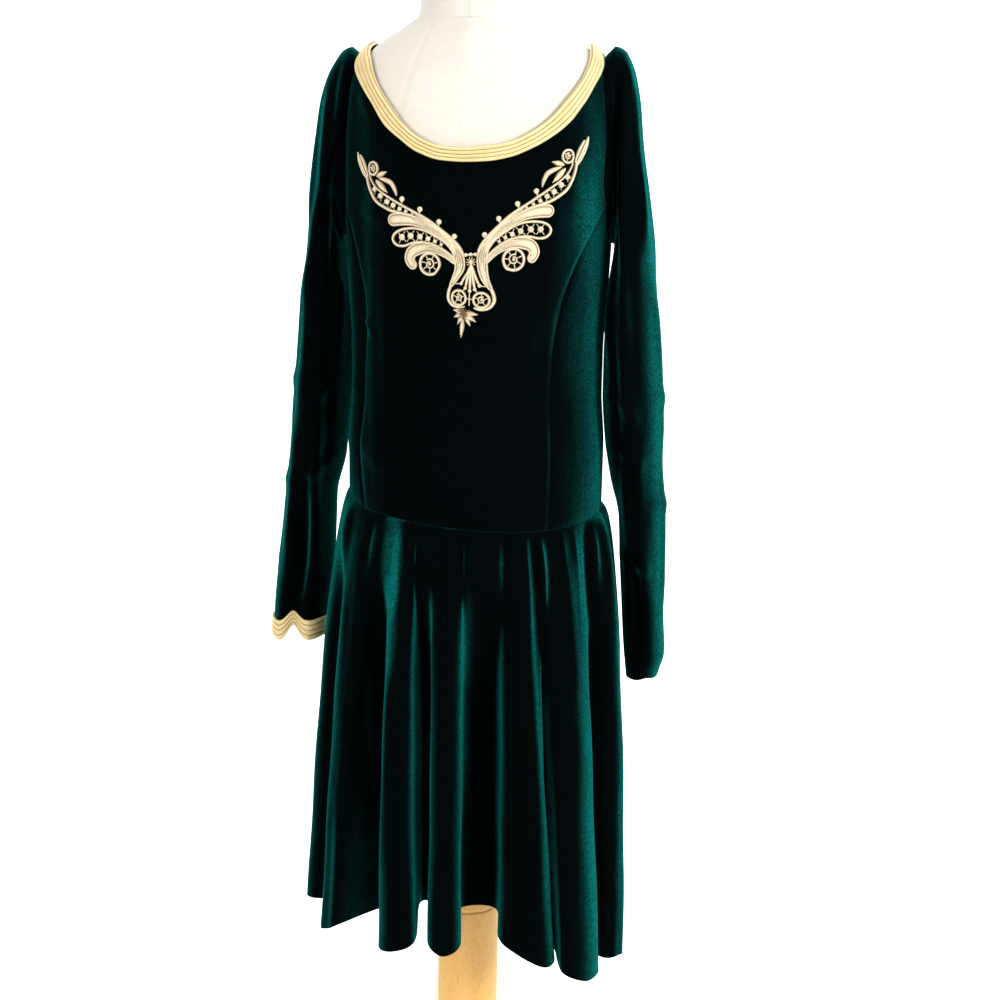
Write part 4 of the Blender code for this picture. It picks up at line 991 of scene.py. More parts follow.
# x and z at the start and the end, sideways bow, depth outwards, width; x is from the middle
SLEEVE_RIGHT_CREASES = (
    (-130, 1326, -158, 1170, 4, 5.6, 5.4),
    (-146, 1318, -172, 1100, 5, 4.6, 5.6),
    (-139, 1280, -150, 1080, 4, -4.6, 5.0),
    (-137, 1220, -143, 1020, 3, 4.2, 4.6),
    (-170, 1130, -186, 960, 4, 3.6, 7.5),
    (-150, 1060, -164, 880, 4, -3, 6.2),
    (-160, 960, -172, 800, -4, 3.4, 6.2),
    (-180, 900, -196, 760, 4, -3.4, 6.2),
    (-190, 960, -206, 820, 3, 3, 6.2),
    (-146, 1010, -176, 984, 4, 2.1, 6.2),
    (-150, 930, -180, 904, 4, 2.3, 6.2),
)
SLEEVE_LEFT_CREASES = (
    (124, 1330, 138, 1180, -4, 6.0, 4.8),
    (134, 1326, 145, 1120, -3, -5.2, 4.8),
    (142, 1314, 156, 1060, -4, 5.6, 5.4),
    (133, 1240, 139, 1040, -3, 4.4, 4.4),
    (150, 1120, 166, 960, -4, 3.8, 7.5),
    (140, 1080, 150, 900, 3, -3.2, 6.2),
    (152, 940, 162, 800, 4, 3.4, 6.2),
    (170, 960, 180, 800, -4, 3.2, 6.2),
    (160, 860, 172, 730, 4, -3, 6.2),
    (134, 1010, 166, 990, 4, 2.3, 6.2),
    (140, 960, 172, 936, 4, 2.1, 6.2),
    (150, 840, 184, 826, 3, 2.5, 5),
)
SLEEVE_SIDE_CREASES = (
    (-10, 1320, -20, 1160, 4, 2.9, 7.2),
    (16, 1326, 22, 1120, -4, 3.2, 7.2),
    (-14, 1120, 6, 940, 5, 2.9, 8.4),
    (24, 1080, 30, 880, -5, -2.6, 7.2),
    (4, 940, 22, 780, 4, 2.7, 7.2),
    (-18, 1010, 30, 990, 4, 1.9, 7.2),
    (-8, 900, 40, 880, 4, 1.9, 7.2),
)
print("sleeve rings in the tables:", len(SLEEVE_RIGHT.rows), len(SLEEVE_LEFT.rows))

# %% [markdown]
# A ring of the sleeve is an oval between its inner and its outer point. The first ring is the
# armhole itself, and the next ones grow out of it. At the cuff the ovals are rounded off, because
# a trim sewn on keeps the edge from folding flat, and the edge itself rises and falls a little.

# %% Sleeves
DENT_WIDTH = 9 * MM
CUFF_RINGS_RIGHT = (14.45, 15.0)    # between which rings each cuff trim lies
CUFF_RINGS_LEFT = (14.5, 15.0)
SLEEVE_RINGS = 150
CUFF_WAVES_RIGHT = ((-199, 13, 7.5), (-214, -5, 8), (-180, -3, 9))  # place, rise and width
CUFF_WAVES_LEFT = ((176, -3, 9), (192, -6, 7))
CUFF_ROUNDING = 50              # how often the cuff's corners are worn down
ROUND_FROM = 0.84               # where that starts, of the sleeve's length
WAVE_FROM = 0.80                # and where the cuff's waves do


def sleeve_grid(side, table):
    """The outside of a sleeve. Columns run from the underarm to the front, top and back."""
    start = armhole_loop(side, inset=SEAM_GAP)
    first = dress_point(start[:, 0], start[:, 1], VELVET + SEAM_GAP)
    turn = np.linspace(0, TWO_PI, ARMHOLE_POINTS, endpoint=False)
    across = (1 - np.cos(turn)) / 2
    grid = [first]
    for ring in np.linspace(0, len(table.rows) - 1, SLEEVE_RINGS)[1:]:
        row = {name: float(table.read(name, max(ring, 1))) for name in table.columns[1:]}
        x = row["inner_x"] + (row["outer_x"] - row["inner_x"]) * across
        z = row["inner_z"] + (row["outer_z"] - row["inner_z"]) * across
        depth = np.where(np.sin(turn) > 0, row["front"], row["back"])
        y = row["middle"] - depth * np.sin(turn)
        middle_x = (row["inner_x"] + row["outer_x"]) / 2
        dent = row["dent"] * np.exp(-((x - middle_x) / DENT_WIDTH) ** 2)
        y += np.where(np.sin(turn) > 0, dent, 0)
        placed = np.stack([side * x, y, z], axis=1)
        grid.append(first + (placed - first) * min(ring, 1.0) ** 0.85)
    return np.array(grid)


def toward_cuff(grid, start):
    """0 down to the start, a share of the sleeve's length, then growing to 1 at the cuff."""
    return np.clip((np.arange(len(grid)) / len(grid) - start) / (1 - start), 0, 1)


def cuff_wave(grid, waves):
    """Lifts or drops the front of the cuff. Each wave has a place across, a rise and a width."""
    x, y = grid[..., 0] / MM, grid[..., 1]
    near = toward_cuff(grid, WAVE_FROM)[:, None] ** 2
    ahead = np.clip((y.mean(axis=1, keepdims=True) - y) / (12 * MM), 0, 1)
    rise = sum(high * MM * np.exp(-((x - at) / width) ** 2) for at, high, width in waves)
    grid = grid.copy()
    grid[..., 2] += near * ahead * rise
    return grid


def rounded_cuff(grid):
    """Takes the corners off the last rings of a sleeve, and keeps their width and depth."""
    near = toward_cuff(grid, ROUND_FROM)[:, None, None]
    size = np.ptp(grid, axis=1, keepdims=True)
    for _ in range(CUFF_ROUNDING):
        beside = (np.roll(grid, 1, axis=1) + np.roll(grid, -1, axis=1)) / 2
        grid = grid + (beside - grid) * near * 0.5
    middle = (grid.max(axis=1, keepdims=True) + grid.min(axis=1, keepdims=True)) / 2
    return middle + (grid - middle) * size / np.ptp(grid, axis=1, keepdims=True)


def make_sleeve(name, side, table, creases, waves):
    """A sleeve from its armhole to its cuff, open at both ends."""
    grid = cuff_wave(rounded_cuff(sleeve_grid(side, table)), waves)
    normals = grid_normals(grid, closed=True) * -side
    for rows, looking in ((creases, FRONT), (creases, BACK),
                          (SLEEVE_SIDE_CREASES, FROM_LEFT if side > 0 else FROM_RIGHT)):
        grid = crease(grid, normals, rows, looking)
    inside = grid - normals * SHELL
    inside[0] = grid[0] + unit((grid[0].mean(axis=0) - grid[0]) * (0, 1, 1)) * SHELL
    if side > 0:
        grid, inside, normals = grid[:, ::-1], inside[:, ::-1], normals[:, ::-1]
    piece = shell(name + "_cloth", grid, inside, velvet_sleeves, [name], closed=True)
    return piece, grid, normals


sleeve_right = make_sleeve("sleeve_right", -1, SLEEVE_RIGHT, SLEEVE_RIGHT_CREASES, CUFF_WAVES_RIGHT)
sleeve_left = make_sleeve("sleeve_left", 1, SLEEVE_LEFT, SLEEVE_LEFT_CREASES, CUFF_WAVES_LEFT)
print("sleeve points:", len(sleeve_right[0].data.vertices), len(sleeve_left[0].data.vertices))

# %% [markdown]
# Four rolled cords lie side by side round the neck and are stitched down between them. Each cord
# is a twisted strand, so its surface rises and falls along a slant. The band is a closed grid: its
# lines run along the edge, and a short profile gives the height of each line over the velvet.

# %% Gold trim finish
GOLD = (0.90, 0.59, 0.19)
GOLD_LIGHT = (0.99, 0.88, 0.54)
GOLD_GROOVE_SHADE = (0.30, 0.165, 0.04)
TRIM_WIDTH = 14.5 * MM
TRIM_CORDS = 4
TWIST = 2.3 * MM


def make_gold():
    """Twisted strands: a slanting wave along each cord, worn in places, with painted shade in the
    grooves between cords.
    """
    gold = Finish("gold_trim", Metallic=0.45, Sheen_Weight=0.15)
    along, across = gold.along()
    strand = (along * (TWO_PI / TWIST * 2) + across * (TWO_PI / TWIST * 1.2)).sine() * 0.5 + 0.5
    valley = (across * (math.pi * TRIM_CORDS / TRIM_WIDTH)).sine().size()
    worn = gold.noise(90, 3, 0.6)
    shade = strand * 0.35 + worn * 0.75 - 0.05
    colour = shade.mix(GOLD, GOLD_LIGHT)
    # Painted shade in the grooves between the cords
    gold.colour(valley.stepped(0.0, 0.42).mix(GOLD_GROOVE_SHADE, colour))
    gold.rough(0.46 - 0.16 * worn)
    gold.bump(strand * 0.7 + gold.noise(900, 1, 0.5) * 0.3, 0.25 * MM, 0.7)
    return gold.material


gold = make_gold()
print("gold nodes:", len(gold.node_tree.nodes))

# %% [markdown]
# The neck trim lies on the velvet and has a lip over its cut edge. The right cuff's trim lies
# round the end of the sleeve, and the left one's inside it, because that cuff is rolled in.

# %% Neck and cuff trims
TRIM_WALL = 0.9 * MM
TRIM_EDGE = 0.35 * TRIM_WALL
TRIM_CORD = 1.25 * MM
TRIM_LIFT = 1.2 * MM
TWIST_RISE = 0.22 * MM
POINTS_PER_CORD = 6
BACK_PLACE = 0.875              # the flat back is coloured as the middle of the last cord
NECK_STATIONS = 1120
CUFF_STATIONS = 3


def cord_profile(lip=0.0):
    """Places across the trim, 0 to 1, and how far each stands out of its flat back."""
    rows = [(0.0, TRIM_EDGE), (0.0, TRIM_WALL)]
    for cord in range(TRIM_CORDS):
        for step in range(1, POINTS_PER_CORD + 1):
            t = step / POINTS_PER_CORD
            dome = math.sin(math.pi * t) ** 0.7
            rows.append(((cord + t) / TRIM_CORDS, TRIM_WALL + TRIM_CORD * dome))
    if lip > 0:
        rows += [(1.02, TRIM_EDGE), (1.02, -lip), (1.004, -lip), (1.004, 0.0)]
    else:
        rows += [(1.0, TRIM_EDGE), (0.99, 0.0)]
    return rows + [(0.01, 0.0)]


def band(name, lines, normals, nodes, profile):
    """A closed band of cords. lines[i] is the i-th line along it, without the cords' twist."""
    grid = np.array(lines)
    rows, count = grid.shape[:2]
    around = np.concatenate([grid, grid[:, :1]], axis=1)
    along = line_lengths(around, 1)[len(lines) // 3]
    turns = max(1, round(along[-1] / TWIST))
    print(f"{name}: {along[-1] / MM:.0f} mm round, {TRIM_CORDS} cords")
    for i, (place, height) in enumerate(profile):
        phase = along[:-1] / along[-1] * turns + place * TRIM_CORDS * 0.6
        raised = max(0.0, (height - TRIM_WALL) / TRIM_CORD)
        grid[i] += normals[i] * (np.sin(TWO_PI * phase) * TWIST_RISE * raised)[:, None]
    a = np.arange(rows * count).reshape(rows, count)
    b = np.roll(a, -1, axis=1)
    faces = np.stack([a, b, np.roll(b, -1, axis=0), np.roll(a, -1, axis=0)], axis=-1)
    across = [[(place if height > 0 else BACK_PLACE) * TRIM_WIDTH] for place, height in profile]
    uv = np.stack(np.broadcast_arrays(along[:-1][None], across), axis=-1)
    return make_piece(name, grid.reshape(-1, 3), faces.reshape(-1, 4), uv.reshape(-1, 2), gold,
                      nodes)


def make_neck_trim():
    """The cords laid on the velvet all round the neck edge."""
    half = NECK_STATIONS // 2
    inner, outer = [np.concatenate([neck_line(start, start + 180, half, edge)[:-1]
                                    for start in (-90, 90)]) for edge in ("inner", "outer")]
    profile = cord_profile(VELVET + TRIM_LIFT)
    lines, normals = [], []
    for place, height in profile:
        at = outer + (inner - outer) * place
        normals.append(body_normal(at[:, 0], at[:, 1]))
        lines.append(body_point(at[:, 0], at[:, 1])
                     + normals[-1] * (EASE + VELVET + TRIM_LIFT + height))
    return band("neck_trim_cords", lines, normals, ["neck_trim"], profile)


def make_cuff_trim(name, sleeve, rings, lift):
    """The cords on the end of a sleeve, outside it or, with a lift below 0, inside it."""
    _, grid, normals = sleeve
    facing = 1 if lift > 0 else -1
    profile = cord_profile()
    fine = np.arange(0, grid.shape[1], 1 / CUFF_STATIONS)

    def refined(ring):
        closed = np.concatenate([ring, ring[:1]])
        at = np.arange(len(closed))
        return np.stack([np.interp(fine, at, closed[:, k]) for k in range(3)], axis=1)

    first, last = [ring / (len(SLEEVE_RIGHT.rows) - 1) * (len(grid) - 1) for ring in rings]
    lines, outward = [], []
    for place, height in profile:
        at = first + (last - first) * place
        low = int(min(math.floor(at), len(grid) - 2))
        ring = refined(grid[low] + (grid[low + 1] - grid[low]) * (at - low))
        normal = refined(normals[low] + (normals[low + 1] - normals[low]) * (at - low))
        lines.append(ring + normal * (lift + facing * height))
        outward.append(normal * facing)
    if facing < 0:
        lines, outward = [line[::-1] for line in lines], [line[::-1] for line in outward]
    return band(name, lines, outward, [name.replace("_cords", "")], profile)


CUFF_LIFT = 0.3 * MM
neck_trim = make_neck_trim()
cuff_right = make_cuff_trim("cuff_trim_right_cords", sleeve_right, CUFF_RINGS_RIGHT, CUFF_LIFT)
cuff_left = make_cuff_trim("cuff_trim_left_cords", sleeve_left, CUFF_RINGS_LEFT,
                           -SHELL - CUFF_LIFT)
print("trim points:", [len(o.data.vertices) for o in (neck_trim, cuff_right, cuff_left)])

# %% [markdown]
# The applique is corded lace: fat stuffed lobes worked over in close stitches, thin cords round
# them, beads and small leaves, all joined so that the piece lifts off in one. Its thread is cream
# gold, with a short wave for the stitches and painted shade along the edges of each strip, and the
# small flower is of old gold.

# %% Lace finish
LACE = (0.84, 0.67, 0.39)
LACE_LIGHT = (0.97, 0.88, 0.67)
LACE_SHADE_AND_FLOWER_PALE = (0.24, 0.13, 0.045)
LACE_FLOWER = (0.17, 0.07, 0.022)
STITCH = 1.5 * MM


def make_lace(name, dark, light):
    """Thread worked in close stitches across each stroke."""
    lace = Finish(name, Sheen_Weight=0.08, Specular_IOR_Level=0.4)
    along, across = lace.along()
    stitch = (along * (TWO_PI / STITCH) + lace.noise(300) * 2.5).sine() * 0.5 + 0.5
    worn = lace.noise(430, 3, 0.85)
    edge = across.size().stepped(0.30, 0.92)
    colour = (worn * 3.4 + stitch * 0.5 - 1.45).mix(dark, light)
    # Painted shade along the edges of each strip, where it dips toward its neighbours
    lace.colour((edge * 0.85).mix(colour, LACE_SHADE_AND_FLOWER_PALE))
    lace.rough(0.52 + 0.18 * stitch)
    lace.bump(stitch, 0.35 * MM, 0.9)
    return lace.material


# The flower's own thread runs from dark old gold up to the same tone that the lace uses for its
# painted shade
lace_flower = make_lace("lace_flower", LACE_FLOWER, LACE_SHADE_AND_FLOWER_PALE)
lace = make_lace("lace", LACE, LACE_LIGHT)
print("lace nodes:", len(lace.node_tree.nodes))

# %% [markdown]
# The lace is drawn flat, in millimetres from the star in its middle, the way a maker would work
# it on a table. To sew it on, each flat place is found again on the chest: as far round the body
# from the star, and as far up.

# %% Places on the chest
APPLIQUE_ANGLE = 8.5            # where the star lies, round the body
APPLIQUE_LEVEL = 1144 * MM
APPLIQUE_TILT = math.radians(4.5)
LACE_BACK = 0.6 * MM
ROUTE_STEP = 1.6                # between the places of a smooth route, in millimetres


def chest_places(flat):
    """Angles and levels of places on the flat applique."""
    tilt = [[math.cos(APPLIQUE_TILT), math.sin(APPLIQUE_TILT)],
            [-math.sin(APPLIQUE_TILT), math.cos(APPLIQUE_TILT)]]
    x, y = (np.asarray(flat, float) @ tilt).T
    levels = APPLIQUE_LEVEL + y * MM
    angles = np.linspace(-89, 89, 179)
    rows = np.linspace(levels.min(), levels.max(), 24)
    found = []
    for row in rows:
        length = run_along(dress_point(angles, row))
        start = np.interp(APPLIQUE_ANGLE, angles, length)
        found.append(np.interp(start + x * MM, length, angles))
    at = np.interp(levels, rows, np.arange(len(rows)))
    low = np.clip(at.astype(int), 0, len(rows) - 2)
    column = np.arange(len(x))
    below, above = np.array(found)[low, column], np.array(found)[low + 1, column]
    return below * (1 - (at - low)) + above * (at - low), levels


def smooth_route(route):
    """A smooth line through the places of a route, with even steps."""
    places = np.array(route, float)
    ends = np.concatenate([places[:1], places, places[-1:]])
    fine = [between(*ends[i:i + 4], t) for i in range(len(places) - 1)
            for t in np.linspace(0, 1, 12, endpoint=False)]
    fine = np.array([*fine, places[-1]])
    return spread(fine, max(3, round(run_along(fine)[-1] / ROUTE_STEP)))


def directions(line):
    """The directions along a flat line and to its left."""
    along = unit(np.gradient(line, axis=0))
    return along, np.stack([-along[:, 1], along[:, 0]], axis=1)


above_waist = APPLIQUE_LEVEL - WAIST_SEAM.read("level", 0)
print("the star lies", round(above_waist / MM), "mm above the waist seam")

# %% [markdown]
# Every stroke of the lace is one small domed strip along a route, and every bead a small dome, so
# a table of routes and widths draws the whole motif. One class gathers the strips laid out flat,
# with the height of each point, and bends them over the chest at the end as one mesh.

# %% Lace strips
PROFILE_POINTS = 7
BEAD_RINGS = np.array([(1.0, 0.0), (0.9, 0.55), (0.6, 0.86), (0.25, 0.98)])   # reach and height
LEAF_BULGE = np.array([0.2, 0.62, 0.88, 1.0, 0.98, 0.84, 0.6, 0.34, 0.1])
PENDANT_SWING = 0.12            # the pendant hangs a little to the wearer's right
PENDANT_TURN = 0.20


class LaceWork:
    """Domed strips laid out flat, to be bent over the chest as one mesh."""

    def __init__(self):
        self.flat, self.height, self.uvs, self.faces, self.count = [], [], [], [], 0

    def add(self, flat, rise, uv, faces):
        self.flat.append(flat.reshape(-1, 2))
        self.height.append(rise.ravel())
        self.uvs.append(uv.reshape(-1, 2))
        self.faces += [[self.count + i for i in face] for face in faces]
        self.count += rise.size

    def strip(self, line, widths, height, ends=1.0, lift=0.0):
        """A domed strip along a line. Its ends narrow to a share of the width."""
        line = np.asarray(line, float)
        t = np.linspace(0, 1, len(line))
        half = np.interp(t, np.linspace(0, 1, len(widths)), widths) / 2
        rounding = np.clip(np.minimum(t, 1 - t) * len(line) / 2.5, 0, 1)
        half = half * (ends + (1 - ends) * np.sqrt(rounding))
        across = np.linspace(-1, 1, PROFILE_POINTS)
        dome = np.sqrt(np.clip(1 - across ** 2, 0, 1))
        flat = line[:, None] + directions(line)[1][:, None] * (half[:, None] * across)[..., None]
        rise = lift + height * dome * (0.35 + 0.65 * rounding[:, None])
        uv = np.stack(np.broadcast_arrays(run_along(line)[:, None] * MM, across), axis=-1)
        flat, uv = [np.concatenate([grid, grid[:, [-1, 0]]], axis=1) for grid in (flat, uv)]
        rise = np.concatenate([rise, np.full((len(line), 2), lift)], axis=1)
        rows, columns = rise.shape
        quads = grid_faces(rows, columns, True)[:, [0, 3, 2, 1]]
        last = (rows - 1) * columns
        self.add(flat, rise, uv, [*quads, range(columns), range(last + columns - 1, last - 1, -1)])

    def thread(self, places, steps, widths, height, lift=0.0):
        """A strip along straight runs between a few places."""
        self.strip(spread(places, steps), widths, height, lift=lift)

    def dome(self, centre, radius, height, sides=12, lift=0.0):
        """A small bead."""
        share, up = BEAD_RINGS.T[..., None]
        turn = np.linspace(0, TWO_PI, sides, endpoint=False)
        flat = centre + np.stack([np.cos(turn), np.sin(turn)], axis=1) * radius * share[..., None]
        rise = np.broadcast_to(lift + height * up, (len(up), sides))
        uv = np.stack(np.broadcast_arrays(turn * radius * MM * 0.6, share * 0.5), axis=-1)
        last = (len(up) - 1) * sides
        self.add(flat, rise, uv, [*grid_faces(len(up), sides, True), range(last, last + sides),
                                  range(sides - 1, -1, -1)])

    def ring(self, centre, radius, width, height, turns=1.0, inner=None, start=0.0):
        """A ring, or a scroll that winds in to an inner radius."""
        steps = max(10, round(TWO_PI * radius * turns / ROUTE_STEP))
        turn = start + np.linspace(0, TWO_PI * turns, steps)
        reach = np.linspace(radius, inner or radius, steps)[:, None]
        self.strip(centre + reach * np.stack([np.cos(turn), np.sin(turn)], axis=1), (width, width),
                   height)

    def leaf(self, foot, tip, width, height, ribs=1):
        """A pointed leaf with ribs."""
        foot, tip = np.array(foot, float), np.array(tip, float)
        run = tip - foot
        self.strip(foot + run * np.linspace(0, 1, 9)[:, None], width * LEAF_BULGE, height)
        across = np.array([-run[1], run[0]]) / np.linalg.norm(run)
        for k in range(ribs):
            off = (k - (ribs - 1) / 2) * width * 0.5 / max(ribs - 1, 1)
            way = np.linspace(0.08, 0.84, 6)[:, None]
            rib = foot + run * way + across * off * np.sin(math.pi * way) ** 0.6
            self.strip(rib, (1.0, 0.7), 0.6, lift=height * (0.86 - 0.3 * abs(off) / width))

    def mirrored(self, other):
        """Takes another lace's shapes, and those shapes mirrored."""
        for sign in (1, -1):
            self.add(np.concatenate(other.flat) * (sign, 1), np.concatenate(other.height),
                     np.concatenate(other.uvs), [face[::sign] for face in other.faces])

    def sway(self):
        """Lets the pendant hang a little to one side of the star."""
        for flat in self.flat:
            x, y = flat.T.copy()
            give = np.clip(-y / 14, 0, 1) * np.clip(1 - abs(x) / 34, 0, 1) ** 0.5
            flat += np.stack([PENDANT_SWING * y * give, -PENDANT_TURN * x * give], axis=1)

    def sewn_on(self, name, material, nodes=()):
        """The piece that the whole work makes, bent over the chest."""
        angle, level = chest_places(np.concatenate(self.flat))
        out = EASE + VELVET + LACE_BACK + np.concatenate(self.height) * MM
        points = body_point(angle, level) + body_normal(angle, level) * out[:, None]
        return make_piece(name, points, self.faces, np.concatenate(self.uvs), material,
                          nodes)


print("a bead has", len(BEAD_RINGS), "rings, a strip", PROFILE_POINTS, "points across")

# %% [markdown]
# One wing holds the lobes, cords, curls, leaves and beads; the other is the same wing mirrored,
# as a lace machine repeats it. Beads in a row are tied to each other and to the cords beside them
# with fine threads, because the real netting is what holds the lace together.

# %% The wing
# Routes in millimetres from the star, for the wing on the wearer's left; widths along each route
FAT_STROKES = (
    (((13.5, 7), (19, 17.5), (28, 26.5), (40, 34), (53, 39.5), (66, 41.5), (79, 41)),
     (4.5, 5, 6, 7, 9, 11.5, 12)),
    (((12.5, -1), (24, 8.6), (36.8, 14.4), (46.7, 14.8), (56, 11.5), (59, 4.5), (54.5, -2.5)),
     (5, 6, 7.5, 9.5, 11.5, 10.5, 8)),
    (((19, 19), (13, 10), (10.5, 2), (11, -7), (14, -15), (18, -22)), (4, 8, 10, 9.5, 7, 4)),
)
CORDS = (
    (((101.5, 86), (100, 79.3), (94.9, 72.4), (85.7, 65.9), (75.7, 60.3), (64.9, 54.4),
      (54.7, 48.9), (43.6, 43), (34.1, 36.6), (24.9, 29), (17, 22), (10.4, 14.5), (6.5, 6)),
     (1.8, 2.6, 3.2)),
    (((105.5, 84), (104.2, 76.1), (100.3, 66.9), (94.1, 58.7), (85, 53.3), (76.4, 49.6),
      (66.8, 47.2), (56.3, 44.6), (45, 39.8), (34.3, 33.2), (22.9, 23.4), (13, 12)),
     (3.4, 3.2, 3.0)),
    (((52, 45.6), (43, 40.8), (33, 34.4), (23.5, 26.2), (15.5, 17.5), (9.5, 8)), (1.4, 2.4, 2.4)),
    (((15.5, 9), (23, 18.5), (34.8, 26.5), (44.4, 31), (54.4, 33), (65, 32.2), (72.5, 29.5),
      (76.2, 25), (75, 20.4), (70.2, 17.5), (63.4, 17.3), (56.6, 19.2), (47.6, 20), (35.3, 17.3),
      (25.9, 12.5), (17, 5.5)), (2.6, 2.8, 2.6)),
    (((18, -21), (21, -29), (21.3, -35.5), (17.5, -41), (11, -43), (4, -42)), (3.6, 3.6, 3)),
)
# centre, radius, width of the cord, radius of the inner curl, spokes
RINGS = ((96.5, 88.5, 5.8, 2.4, 2.2, 3), (39.5, 0, 9.6, 3.0, 3.8, 7),
         (10.6, -34, 7.0, 2.6, 2.4, 5))
# Beads on small bars: x, y, radius
LATTICE = ((95.5, 69.8, 1.9), (88.4, 63.4, 2.2), (81, 58, 2.2), (74, 54.5, 2.0),
           (67.2, 51, 1.7), (60.7, 48.4, 1.4), (54, 46, 1.1))
NET = ((66.2, 25.2, 2.4), (57, 26, 2.4), (47.5, 25.0, 2.2), (39.6, 22.8, 1.9), (33, 20.2, 1.5),
       (27.2, 17, 1.2))
PICOTS = ((64, 59.8), (46, 49.8), (28, 37.6), (14.2, 23.8))
# foot, tip, width, ribs
LEAVES = (((92.5, 81), (80, 84.8), 5.4, 1), ((93.5, 78), (80, 66), 6, 2))
# the blunt leaf at the wing's end, of cords side by side: off its middle, foot, tip, width
TIP_CORDS = ((-2.7, (105, 82), (116.5, 101), 3.0), (0, (104.4, 79.5), (120, 104.5), 3.4),
             (2.7, (105, 80), (118.5, 103.5), 3.0))
TIP_BOW = np.array([0.86, -0.51])
CURVED_LEAF = (((90, 79.5), (82, 77.5), (75.5, 74.5), (71.5, 68.5), (69.5, 63)),
               (1.5, 4.2, 5, 4.2, 2.2))


def fat_stroke(work, route, widths):
    """A stuffed lobe with one cord all round it and finer ones along its back."""
    line = smooth_route(route)
    run = run_along(line)
    width = np.interp(run / run[-1], np.linspace(0, 1, len(widths)), widths)
    work.strip(line, width * 0.96, 1.1, ends=0.5)
    along, beside = directions(line)
    half = width / 2 - 0.7
    last = int(np.searchsorted(run, run[-1] - half[-1])) + 1
    turn = np.linspace(-math.pi / 2, math.pi / 2, 11)[1:-1, None]
    cap = (np.cos(turn) * along[-1] + np.sin(turn) * beside[-1]) * half[last - 1]
    rim = np.concatenate([(line - beside * half[:, None])[:last], line[last - 1] + cap,
                          (line + beside * half[:, None])[:last][::-1]])
    work.strip(rim, (1.9, 1.9), 1.5, ends=0.5, lift=0.5)
    for share, reach in ((-0.5, 0.66), (0.0, 0.55), (0.5, 0.7)):
        stop = max(int(len(line) * reach), 4)
        work.strip((line + beside * (half * share)[:, None])[:stop], (1.4, 1.1), 1.3, ends=0.5,
                   lift=0.9)


def netting(work, beads, bar=0.8, reach=3.6):
    """Beads in a row, tied to the cords beside them."""
    places = np.array(beads)[:, :2]
    for place, (_, _, radius), along, beside in zip(places, beads, *directions(places)):
        work.dome(place, radius * 1.22, radius + 0.5)
        for lean in (-0.8, 0.8):
            arm = (beside + along * lean) * reach * (0.35 + radius / 3)
            work.thread([place - arm, place + arm], 4, (bar, bar), 0.9)


def curl(work, centre, radius, cord, inner, spokes):
    """A ring with a small scroll in it, held by spokes."""
    centre = np.array(centre)
    work.ring(centre, radius, cord, 1.8)
    work.ring(centre, inner + 1.0, 1.7, 1.5, turns=1.15, inner=inner * 0.55, start=1.0)
    work.dome(centre, inner * 0.4, 1.6)
    for k in range(spokes):
        angle = TWO_PI * k / spokes + 0.3
        arm = np.array([math.cos(angle), math.sin(angle)])
        work.strip([centre + arm * share for share in (inner, (inner + radius) / 2, radius)],
                   (1.1, 1.1), 1.1)


def wing():
    """One wing of the applique."""
    work = LaceWork()
    for route, widths in FAT_STROKES:
        fat_stroke(work, route, widths)
    for route, widths in CORDS:
        widths = np.interp(np.linspace(0, 1, 9), (0, 0.5, 1), widths)
        work.strip(smooth_route(route), widths, 1.7, ends=0.4)
    for x, y, *sizes in RINGS:
        curl(work, (x, y), *sizes)
    netting(work, LATTICE)
    netting(work, NET, 0.9, 4.2)
    for x, y in PICOTS:
        work.dome((x, y), 2.5, 2.5, sides=14)
        work.thread([(x, y), (x + 0.9, y - 4.2)], 4, (1.8, 1.8), 1.2)
    for foot, tip, width, ribs in LEAVES:
        work.leaf(foot, tip, width, 1.7, ribs)
    for off, foot, tip, width in TIP_CORDS:
        way = np.linspace(0, 1, 12)[:, None]
        bowed = TIP_BOW * off * np.sin(math.pi * (0.12 + 0.72 * way)) ** 0.8
        line = np.array(foot) + np.subtract(tip, foot) * way + bowed
        work.strip(line, (width * 0.6, width, width, width * 0.85), 1.8, ends=0.6)
    route, widths = CURVED_LEAF
    work.strip(smooth_route(route), widths, 1.6, ends=0.3)
    work.strip(smooth_route(route[1:]), (0.9, 0.9), 0.8, lift=1.4)
    return work


one_wing = wing()
print("faces of a wing:", len(one_wing.faces))

# %% [markdown]
# Between the wings lies the star, and a fan of threads runs down from it to the two curls and the
# pendant with its small flower. The flower is darker thread, so it is a piece of its own.

# %% Applique
STAR_RAYS = 10
TOP_BAR = ((-9, 6.2), (-4.5, 6.6), (0, 6.8), (4.5, 6.6), (9, 6.2))
FAN_ENDS = ((-8.5, -20.5), (-4.4, -24.5), (0, -26.5), (4.4, -24.5), (8.5, -20.5))
FAN_TIES = (((-8.5, -20.5), (-14.5, -21)), ((8.5, -20.5), (14.5, -21)), ((0, -26.5), (0, -40.5)),
            ((-4.4, -24.5), (-7.5, -28)), ((4.4, -24.5), (7.5, -28)), ((-4, -34), (4, -34)))
DROP = ((-5.6, -53), (-7, -72), 5.0)
PETALS = (((-16, -46), 5.4), ((-15.2, -53), 5.6), ((-11.4, -59.5), 5.2), ((1.8, -59.5), 5.2),
          ((6.4, -55), 5.4), ((8, -48), 5.0))
FLOWER_AT = np.array([-4.6, -47.5])
FLOWER_THREADS = 11


